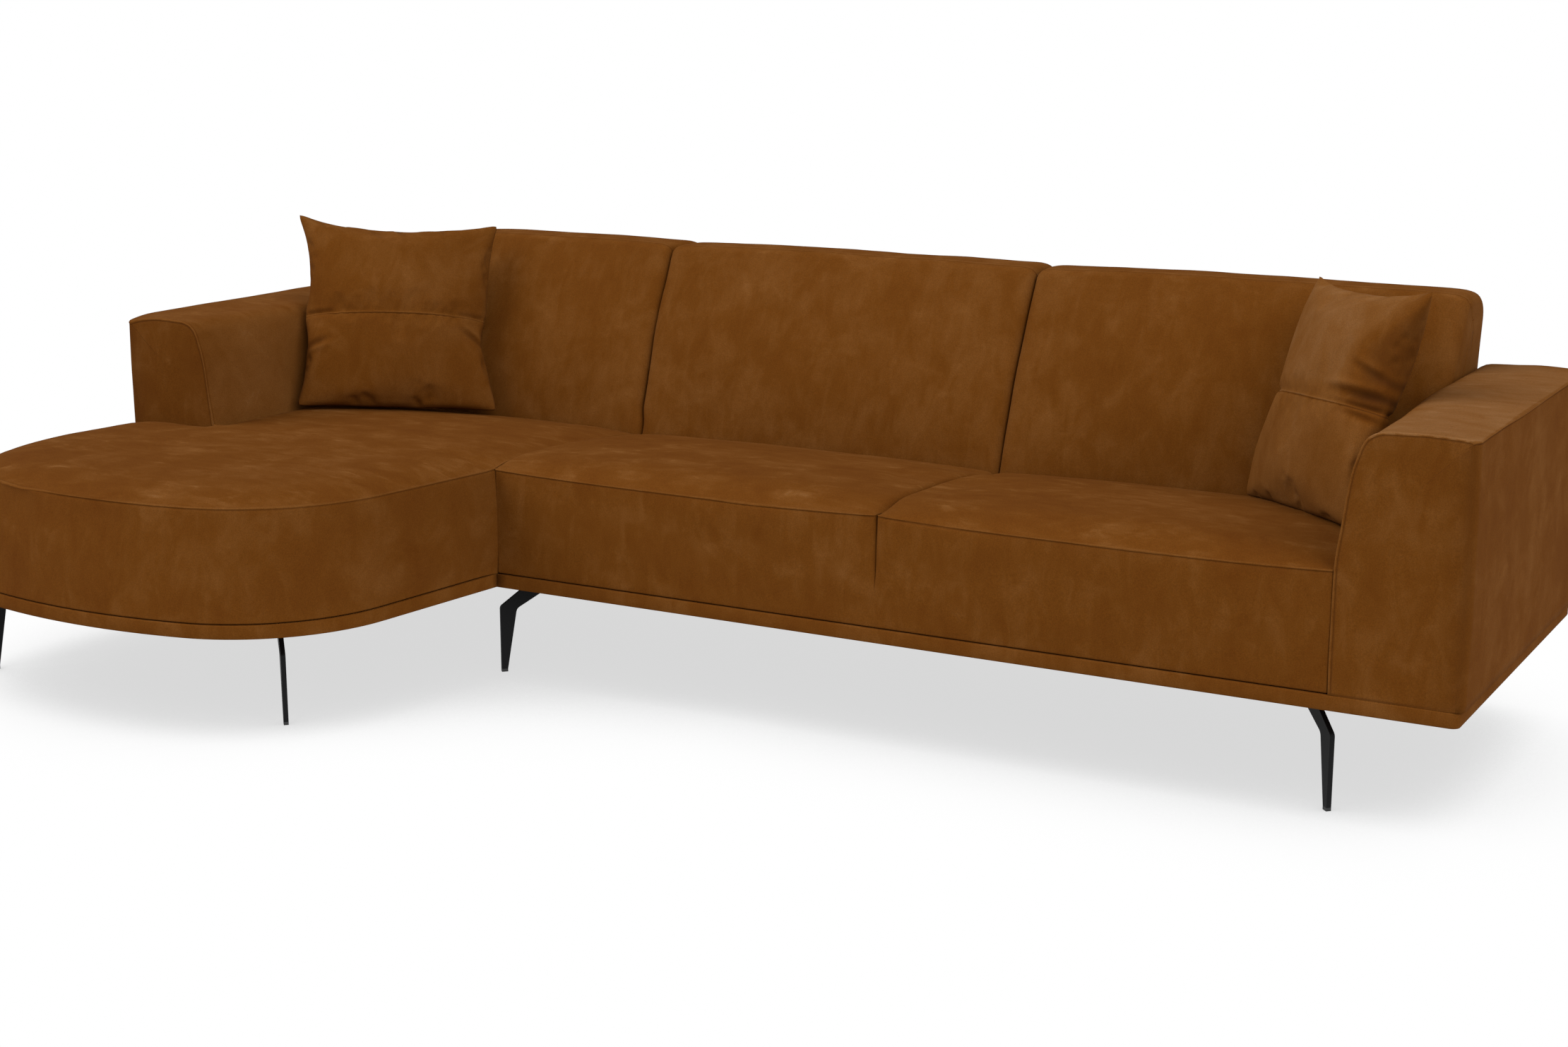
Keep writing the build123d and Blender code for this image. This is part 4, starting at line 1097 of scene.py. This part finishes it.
def arm_cover(name, x_outer, inward, stand_out, corner_drop, top_sheen_and_wear, side_painted_light):
    """Padded arm: outer side and front in one piece, top and inner side in another, sewn along the edges."""
    height = z_arm - z_foot
    outline = []            # distance from the outer face, height, seam mark, share of the front welt
    for share in np.linspace(0, 1, arm_side_count):
        a = arm_side_inset - arm_side_belly * math.sin(math.pi * share)
        outline.append((a, z_foot + share * (height - arm_side_end), 0.0, 0.0))
    for k, (a, dz, groove, nap_share) in enumerate(arm_edge_steps):
        outline.append((a, z_arm + dz, groove + nap_share * top_sheen_and_wear, k / len(arm_edge_steps)))
    z_crown = z_arm + arm_edge_steps[-1][1]
    for a in arm_top_places:
        outline.append((a, z_crown + arm_crown * math.sin(math.pi * a / arm_crown_width), top_sheen_and_wear, 1.0))
    inner = slice(len(outline), len(outline) + arm_inner_count)
    lines = []
    for line in (np.array(arm_inner_line), np.array(arm_rear_line)):
        places, shares = line_lengths(line), np.linspace(0, 1, arm_inner_count)
        lines.append(np.stack([smooth_curve(places, values, shares) for values in line.T], axis=-1))
    for a, dz in lines[0]:
        on_top = smooth_step((dz + top_sheen_drop) / top_sheen_run)
        outline.append((a, z_arm + dz, side_painted_light + (top_sheen_and_wear - side_painted_light) * on_top, 1.0))
    squarer = lines[1] - lines[0]
    a_low, z_low = arm_inner_line[-1][0], z_arm + arm_inner_line[-1][1]
    for share in np.linspace(0, 1, arm_low_count)[1:]:
        outline.append((a_low, z_low + share * (z_foot - z_low), side_painted_light, 1.0))
    for a, sewn in ((arm_width - tucked_under, 1.0), (arm_width / 2, 1.0), (tucked_under, 0.0)):
        outline.append((a, z_under, 0.0, sewn))
    outline = np.array(outline)
    marks, sewn = outline[:, 2:].T
    proud = unit(left_of(np.roll(outline[:, :2], -1, axis=0) - np.roll(outline[:, :2], 1, axis=0)))

    rows = Rows()
    for y in spaced(y_front, y_rear):
        depth, rest = y - y_front, y_rear - y
        edge_inset = round_over(depth, arm_seam_radius)
        rear_inset = round_over(rest, arm_rear_side_radius)
        outer_inset = round_over(depth, arm_front_radius) + rear_inset
        top_inset = edge_inset + round_over(rest, arm_rear_top_radius)
        section = outline[:, :2].copy()
        section[inner] += squarer * smooth_step(depth / squarer_run)
        a, z = section.T
        a_in = outer_inset + a * (arm_width + stand_out - outer_inset - edge_inset - rear_inset) / arm_width
        z_in = z_foot + (z - z_foot) * (height - top_inset) / height
        ridge = bell(depth - front_ridge, front_ridge_width)
        groove = bell(depth - front_groove, front_groove_width)
        welt = front_ridge_height * ridge - front_groove_depth * groove
        a_in, z_in = np.stack([a_in, z_in]) + proud.T * welt * sewn
        sag = running_out(depth, arm_sag_length) * running_out(a, arm_sag_width)
        z_in = z_in - corner_drop * sag * smooth_step((z - z_arm) / arm_sag_height + 1)
        # Rubbed nap and painted light fade towards the rear; painted shade in the grooves stays
        wear_and_painted_light = np.maximum(marks, 0.0) * smooth_step(rest / rear_pale_fade) + np.minimum(marks, 0.0)
        seams = wear_and_painted_light + (front_ridge_mark * ridge - front_groove_mark * groove) * sewn
        # Painted shade on the unsewn front corner
        seams = seams - corner_painted_shade * math.exp(-depth / corner_shade_side) * (1 - sewn)
        rows.add(x_outer + inward * (a_in - stand_out), y, z_in, np.clip(seams, -1.0, 1.0))
    cover = Cover(name)
    net, seams = rows.stacked()
    cover.net(net, seams, closed=True)

    for loop, way, swell in ((net[0], -1.0, arm_front_swell), (net[-1], 1.0, arm_rear_swell)):
        spine = loop.copy()
        spine[:, 0] = x_outer + inward * arm_spine * arm_width
        spine[:, 2] = np.clip(loop[:, 2], z_foot + arm_spine_low, z_arm - arm_spine_high)
        outwards = np.array([0.0, way, 0.0])
        rings, places = capped(loop, spine, outwards, swell)
        ring_marks = 0.0
        if way < 0:
            sunk = bell(places - cap_seam, cap_seam_width)[:, None] * sewn
            sunk[0] = 0.0
            rings = rings - outwards * cap_seam_depth * sunk[..., None]
            # Painted shade in the cap seam's groove and on the unsewn front corner
            dark = corner_painted_shade * np.exp(-places / corner_shade_front)[:, None] * (1 - sewn)
            ring_marks = -cap_seam_mark * sunk - dark
        cover.net(rings, ring_marks, closed=True)
    return cover.made()


# The left arm stands out a little, sags more at its corner, has less painted sheen and rubbing on top and more
# painted light on its inner side
arm_places = {
    "right": (x_right, -1.0, 0.0, 1.0, 0.85, 0.3),
    "left": (x_left, 1.0, 5.0, 10.0, 0.25, 0.42),
}
for seed, (side, place) in enumerate(arm_places.items(), 31):
    settle(
        arm_cover(side + "_arm_cover", *place),
        replaced=(side + "_arm_pad",),
        waves=((260.0, 0.7), (90.0, 0.2)),
        seed=seed,
    )


# Plinth wraps: fabric drawn round the boards' outer edges
wrap_proud = 1.2
wrap_below = 0.7            # it stands this far below the boards
wrap_above = 0.15           # and above them
wrap_depth = 12.0
wrap_flange = 36.0          # the fabric runs this far in below the boards
wrap_fabric = 0.5           # thickness of that flange
wrap_radius = 2.5
wrap_lower_radius = 7.0
wrap_lower_flat = 0.45      # height of the lower rounding, share of its depth
wrap_corner = 14.0
wrap_gap = 1.0
wrap_pitch = 25.0


def wrapped_edge(name, path):
    """Fabric band along a plan line that keeps the boards on its right."""
    low, high = z_plinth - wrap_below, z_base + wrap_above
    section = [(wrap_depth, high)]
    section += [(back - wrap_proud, high - drop) for back, drop in quarter(wrap_radius, 5)]
    section.append((-wrap_proud, (low + high) / 2))
    lower = quarter(wrap_lower_radius, 5)
    section += [(back - wrap_proud, low + wrap_lower_flat * lift) for lift, back in lower]
    section += [(wrap_flange, low), (wrap_flange, low + wrap_fabric), (wrap_depth, low + wrap_fabric)]
    rows = Rows()
    for reach, z in section:
        rows.add(*(path + inward_of(path) * reach).T, z)
    cover = Cover(name)
    cover.net(np.transpose(rows.stacked()[0], (1, 0, 2)), closed=True)
    return cover.made()


def corner_path(*points):
    """Plan line through points with its corners rounded."""
    points = [np.array(point) for point in points]
    path = [points[0]]
    for before, corner, after in zip(points, points[1:], points[2:]):
        start = corner + unit(before - corner) * wrap_corner
        path += list(eased(start, corner, corner + unit(after - corner) * wrap_corner, 8))
    path.append(points[-1])
    full = [path[:1]]
    for start, end in zip(path, path[1:]):
        count = max(int(np.linalg.norm(end - start) / wrap_pitch), 1)
        full.append(np.linspace(start, end, count + 1)[1:])
    return np.concatenate(full)


x_wrap_right = x_right - plinth_side_inset
x_wrap_left = x_left + plinth_side_inset
x_wrap_joint = x_joint + wrap_gap
wrap_paths = {
    "seat_plinth_wrap": corner_path(
        (x_wrap_joint, y_rear), (x_wrap_right, y_rear), (x_wrap_right, y_front), (x_wrap_joint, y_front)
    ),
    "nose_plinth_wrap": nose_line(0.0),
    "left_arm_plinth_wrap": corner_path(
        (x_wrap_left, y_front + 2 * wrap_gap), (x_wrap_left, y_rear), (x_joint - wrap_gap, y_rear)
    ),
}
for name, path in wrap_paths.items():
    settle(wrapped_edge(name, path))


# Scatter cushions: two square faces sewn round their edge, blown up as cloth
scatter_width = 424.0
scatter_height = 420.0
scatter_thickness = 132.0
start_thickness = 128.0
start_uneven = 3.0
uneven_reach = 170.0
scatter_pinch = 9.0
scatter_sag = 5.0           # the lower edge sags between its corners
corner_rounding = 3.0
cloth_count = 48
fine_count = 120
rim_shrink = 0.45           # the sewn rim shrinks less than the seam
# Seam across a cushion: share of its height, rows beside it, its ridge and its groove, which gets painted shade
seam_share = 0.47
seam_offsets = np.array([-7.0, -4.5, -3.0, -1.8, -0.8, 0.2, 1.2, 2.4, 4.0, 7.0])
seam_clear = 9.0
seam_ridge = 1.4
seam_ridge_width = 1.2
seam_ridge_height = 1.3
seam_ridge_mark = 0.4
seam_groove = -1.2
seam_groove_width = 1.0
seam_groove_depth = 1.6
seam_groove_mark = 0.55
# Waist drawn in at the right side, as shares of width and height
waist_height = 0.40
waist_width = 0.16
waist_start = 0.55
# Side with painted shade, as shares of width and height
shade_start = 0.70
shade_run = 0.2
shade_top = 0.72            # above this its border leans outwards
shade_lean = 0.5
shade_waver = 0.035
shade_waver_reach = 0.3
shade_foot = 0.42
shade_foot_run = 0.06
painted_light_run = 0.1               # change from the lower to the upper painted light, share of the height
fold_painted_shade = 0.06            # painted shade darkens the folds by this much per millimetre
fold_inner_run = 0.6        # runs of a fold's two ends, as shares of its length
fold_outer_run = 0.3
fold_outer_reach = 0.35     # it starts this far outside its first point
fold_swell_place = 1.9      # the cloth swells beside a fold, in half widths
fold_swell = 0.6
resting_height = 100.0      # points this far below the centre may rest on the seat
resting_gap = 0.5
ray_height = 200.0


def blown_cushion(seed):
    """Front and rear face of a cushion after blowing it up, as two nets of points."""
    side = cloth_count + 1
    share = np.linspace(-1, 1, side)
    across, up = np.meshgrid(share, share)
    draw_in = scatter_pinch / (scatter_width / 2)
    draw_up = np.where(up > 0, scatter_pinch, -scatter_sag) / (scatter_height / 2)
    x = scatter_width / 2 * across * (1 - draw_in * (1 - up**2) * np.abs(across))
    z = scatter_height / 2 * up * (1 - draw_up * (1 - across**2) * np.abs(up))
    lens = ((1 - across**2) * (1 - up**2)) ** 0.6
    flat = np.stack([x, np.zeros_like(x), z], axis=-1)
    uneven = start_uneven * swells(flat.reshape(-1, 3), uneven_reach, seed).reshape(side, side)
    front, rear = flat.copy(), flat.copy()
    front[..., 1] -= lens * (start_thickness / 2 + uneven)
    rear[..., 1] += lens * (start_thickness / 2 - uneven)
    inside = np.zeros((side, side), bool)
    inside[1:-1, 1:-1] = True
    front_ids = np.arange(side * side).reshape(side, side)
    rear_ids = front_ids.copy()
    rear_ids[inside] = side * side + np.arange(inside.sum())
    points = np.concatenate([front.reshape(-1, 3), rear[inside]]) * MM
    faces = np.concatenate([quads(front_ids), quads(rear_ids)[:, ::-1]])
    mesh = new_mesh("cushion_cloth", points.tolist(), faces.tolist())
    piece = linked("cushion_cloth", mesh)
    seam_row = round(seam_share * cloth_count)
    groups = [("drawn_in", front_ids[~inside], rim_shrink)]
    groups += [("drawn_in", ids[seam_row], 1.0) for ids in (front_ids, rear_ids)]
    points = blown_up(piece, groups, scatter_cloth, scatter_frames)
    bpy.data.objects.remove(piece)
    bpy.data.meshes.remove(mesh)
    points = points / MM
    return points[front_ids], points[rear_ids]


def finer(net, rows, columns):
    """Net of points drawn again at other places with a smooth line through its points."""
    for places in (rows, columns):
        knots = np.linspace(0, 1, len(net))
        lines = [[smooth_curve(knots, line, places) for line in column.T] for column in np.swapaxes(net, 0, 1)]
        net = np.swapaxes(np.array(lines), 1, 2)
    return net


def folded(across, up, folds):
    """Depth of the folds at shares of a face; a fold runs between two points and fades at its inner end."""
    depth = np.zeros(across.shape)
    for start, end, width, deep in folds:
        run = np.subtract(end, start)
        length = np.linalg.norm(run)
        along = ((across - start[0]) * run[0] + (up - start[1]) * run[1]) / length**2
        aside = ((across - start[0]) * run[1] - (up - start[1]) * run[0]) / length
        fade = smooth_step((1 - along) / fold_inner_run)
        fade = fade * smooth_step((along + fold_outer_reach) / fold_outer_run)
        swell = fold_swell * bell(aside - fold_swell_place * width, width)
        depth += deep * fade * (bell(aside, width) - swell)
    return depth


def scatter_cover(name, seed, centre, turns, rests_on, lower_painted_light, upper_painted_light, ear, waist, shade, folds):
    """Loose cushion, leaned back on the seat, with a seam across its faces and folds at its sides.

    Turns are degrees about the upright, sideways and depth axes; ear and waist say how far the upper left corner
    stands out and the right side is drawn in; shade is how much shade is painted on the right side.
    """
    rows = np.linspace(0, 1, fine_count)
    rows = rows[np.abs(rows - seam_share) * scatter_height > seam_clear]
    rows = np.sort(np.concatenate([rows, seam_share + seam_offsets / scatter_height]))
    columns = np.linspace(0, 1, fine_count)
    nets = np.stack([finer(net, rows, columns) for net in blown_cushion(seed)])
    low, high = nets.min(axis=(0, 1, 2)), nets.max(axis=(0, 1, 2))
    nets = (nets - (low + high) / 2) * np.array([scatter_width, scatter_thickness, scatter_height]) / (high - low)
    place = Matrix.Translation(Vector(centre))
    for axis, turn in zip("ZXY", turns):
        place = place @ Matrix.Rotation(math.radians(turn), 4, axis)
    place = np.array(place)

    across, up = np.meshgrid(columns, rows)
    offsets = (up - seam_share) * scatter_height
    ridge = bell(offsets - seam_ridge, seam_ridge_width)
    groove = bell(offsets - seam_groove, seam_groove_width)
    fade = np.sin(math.pi * across) ** 0.3
    to_corner = np.abs((2 * across - 1) * (2 * up - 1))
    tips = corner_rounding * to_corner**14 - ear * to_corner**6 * ((across < 0.5) & (up > 0.5))
    drawn = waist * bell(up - waist_height, waist_width) * smooth_step((across - waist_start) / (1 - waist_start))
    creases = folded(across, up, folds)
    shares = np.stack([across, up, up * 0], axis=-1).reshape(-1, 3)
    # Painted shade on the right side, standing in for the shade where the cushion is squeezed between the arm and
    # the back
    wavering = shade_waver * swells(shares, shade_waver_reach, seed).reshape(across.shape)
    from_side = across - shade_start - shade_lean * np.maximum(up - shade_top, 0.0) + wavering
    shaded = smooth_step(from_side / shade_run) * smooth_step((up - shade_foot) / shade_foot_run)
    # Painted light: the face is drawn paler above the seam, where it faces the light
    nap = lower_painted_light + (upper_painted_light - lower_painted_light) * smooth_step((up - seam_share) / painted_light_run)
    marks = seam_ridge_mark * ridge - seam_groove_mark * groove
    # Painted shade in the folds
    marks = marks + nap - (nap + shade) * shaded - fold_painted_shade * creases
    welt = seam_ridge_height * ridge - seam_groove_depth * groove
    cover = Cover(name)
    for net, way, folding in zip(nets, (-1.0, 1.0), (creases, 0.0)):
        net[..., 0] -= np.sign(2 * across - 1) * tips + drawn
        net[..., 1] += (way * welt + folding) * fade
        net[..., 2] -= np.sign(2 * up - 1) * tips
        cover.net(net @ place[:3, :3].T + place[:3, 3], np.clip(marks, -1.0, 1.0))
    made = cover.made()

    seat = BVHTree.FromObject(rests_on, bpy.context.evaluated_depsgraph_get())
    points = rows_of(made.data.vertices, "co")
    for point in points:
        if point[2] < centre[2] - resting_height:
            above = Vector(point) + Vector((0, 0, ray_height))
            hit = seat.ray_cast(above * MM, Vector((0, 0, -1)))[0]
            if hit is not None:
                point[2] = max(point[2], hit.z / MM + resting_gap)
    move_points(made.data, points)
    return made


z_seat_seam = 421.3         # reference height of the cushions' places in the frame
# Folds: start at the cushion's edge and inner end as shares of its width and height, half width, depth
scatter_places = {
    "left": dict(
        seed=41,
        centre=(x_arm_left + 151.0, y_front + 431.0, z_seat_seam + 211.5),
        turns=(39.7, -23.6, 3.4),
        rests_on=chaise,
        lower_painted_light=0.05, upper_painted_light=0.1, ear=9.0, waist=17.0, shade=-0.1,
        folds=[
            ((1.0, 0.33), (0.82, 0.42), 0.016, 9.0),
            ((0.0, 0.30), (0.18, 0.35), 0.016, 8.0),
            ((0.49, 1.0), (0.54, 0.88), 0.015, 5.0),
        ],
    ),
    "right": dict(
        seed=42,
        centre=(x_arm_right - 133.5, y_front + 414.0, z_seat_seam + 207.7),
        turns=(-48.3, -19.4, -4.0),
        rests_on=seats,
        lower_painted_light=0.45, upper_painted_light=0.8, ear=4.0, waist=4.0, shade=0.36,
        folds=[
            ((1.0, 0.535), (0.6, 0.52), 0.018, 9.0),
            ((1.0, 0.60), (0.72, 0.66), 0.016, 6.0),
            ((1.0, 0.43), (0.8, 0.44), 0.014, 6.0),
        ],
    ),
}
for side, values in scatter_places.items():
    settle(
        scatter_cover(side + "_scatter_cover", **values),
        body=side + "_scatter",
        replaced=("scatter_cushion_" + side,),
    )


# Floor, light and camera, in metres
floor_reach = 200.0
backdrop_radius = 90.0      # it only fills the background and gives no light
backdrop_height = 70.0
backdrop_sides = 64
open_distance = 0.6         # what stands closer than this over the floor casts a painted shadow on it
sky_strength = 0.36
lamp_angle = 50.0
lamp_distance = 6.0
lamps = {
    "left_lamp": ((-0.72, -0.42, 0.66), 2.6),
    "right_lamp": ((0.80, -0.40, 0.62), 2.35),
    "overhead_lamp": ((0.0, -0.15, 1.0), 0.5),
}


def stage_piece(name, corners, faces, finish):
    """Object of the studio that isn't part of the sofa."""
    made = linked(name, new_mesh(name, corners, faces))
    made.data.materials.append(finish)
    return made


def studio():
    """Glowing white floor with a painted shadow under what stands close above it, and a far white backdrop, under
    even light with a soft lamp from each side and one from above.
    """
    finish, tree = new_finish("glowing_floor_painted_shadow")
    # Painted shadow: the floor glows white and is drawn grey where something stands close above it
    painted_shadow_ao = add(tree, "AmbientOcclusion", {"Distance": open_distance}, "AO", samples=12)
    pale = graded(tree, painted_shadow_ao, (0.1, "#d7d7d7"), (0.38, "#dadada"), (0.62, "#fafafa"), (0.8, "#ffffff"))
    add(tree, "OutputMaterial", {"Surface": add(tree, "Emission", {"Color": pale, "Strength": 1.0})})
    corners = [(x * floor_reach, y * floor_reach, 0.0) for x, y in ((-1, -1), (1, -1), (1, 1), (-1, 1))]
    stage_piece("studio_floor", corners, [(0, 1, 2, 3)], finish)

    finish, tree = new_finish("white_studio_backdrop")
    white = add(tree, "Emission", {"Color": linear("#ffffff"), "Strength": 1.0})
    add(tree, "OutputMaterial", {"Surface": white})
    turns = np.linspace(0, 2 * math.pi, backdrop_sides, endpoint=False)
    ring = backdrop_radius * np.stack([np.cos(turns), np.sin(turns)], axis=-1)
    corners = [(x, y, z) for z in (0.0, backdrop_height) for x, y in ring.tolist()]
    ids = np.arange(2 * backdrop_sides).reshape(2, backdrop_sides)
    faces = quads(np.hstack([ids, ids[:, :1]])).tolist()
    backdrop = stage_piece("studio_backdrop", corners, faces, finish)
    for rays in ("diffuse", "glossy", "transmission", "volume_scatter", "shadow"):
        setattr(backdrop, "visible_" + rays, False)

    world = bpy.data.worlds.new("studio_light")
    world.use_nodes = True
    world.node_tree.nodes["Background"].inputs["Color"].default_value = linear("#ffffff")
    world.node_tree.nodes["Background"].inputs["Strength"].default_value = sky_strength
    bpy.context.scene.world = world
    for name, (direction, power) in lamps.items():
        lamp = bpy.data.lights.new(name, "SUN")
        lamp.angle = math.radians(lamp_angle)
        lamp.energy = power
        piece = linked(name, lamp)
        piece.location = Vector(direction) * lamp_distance
        piece.rotation_euler = Vector(direction).to_track_quat("Z", "Y").to_euler()


def view_camera():
    """Camera at the photograph's angle and height."""
    lens = bpy.data.cameras.new("camera")
    lens.sensor_width = 36.0
    lens.lens = 55.53
    camera = linked("camera", lens)
    camera.location = (2.27487, -3.80931, 1.35848)
    camera.rotation_euler = (math.radians(77.139), 0.0, math.radians(29.337))
    bpy.context.scene.camera = camera


studio()
view_camera()
bpy.context.scene.view_settings.view_transform = "Standard"
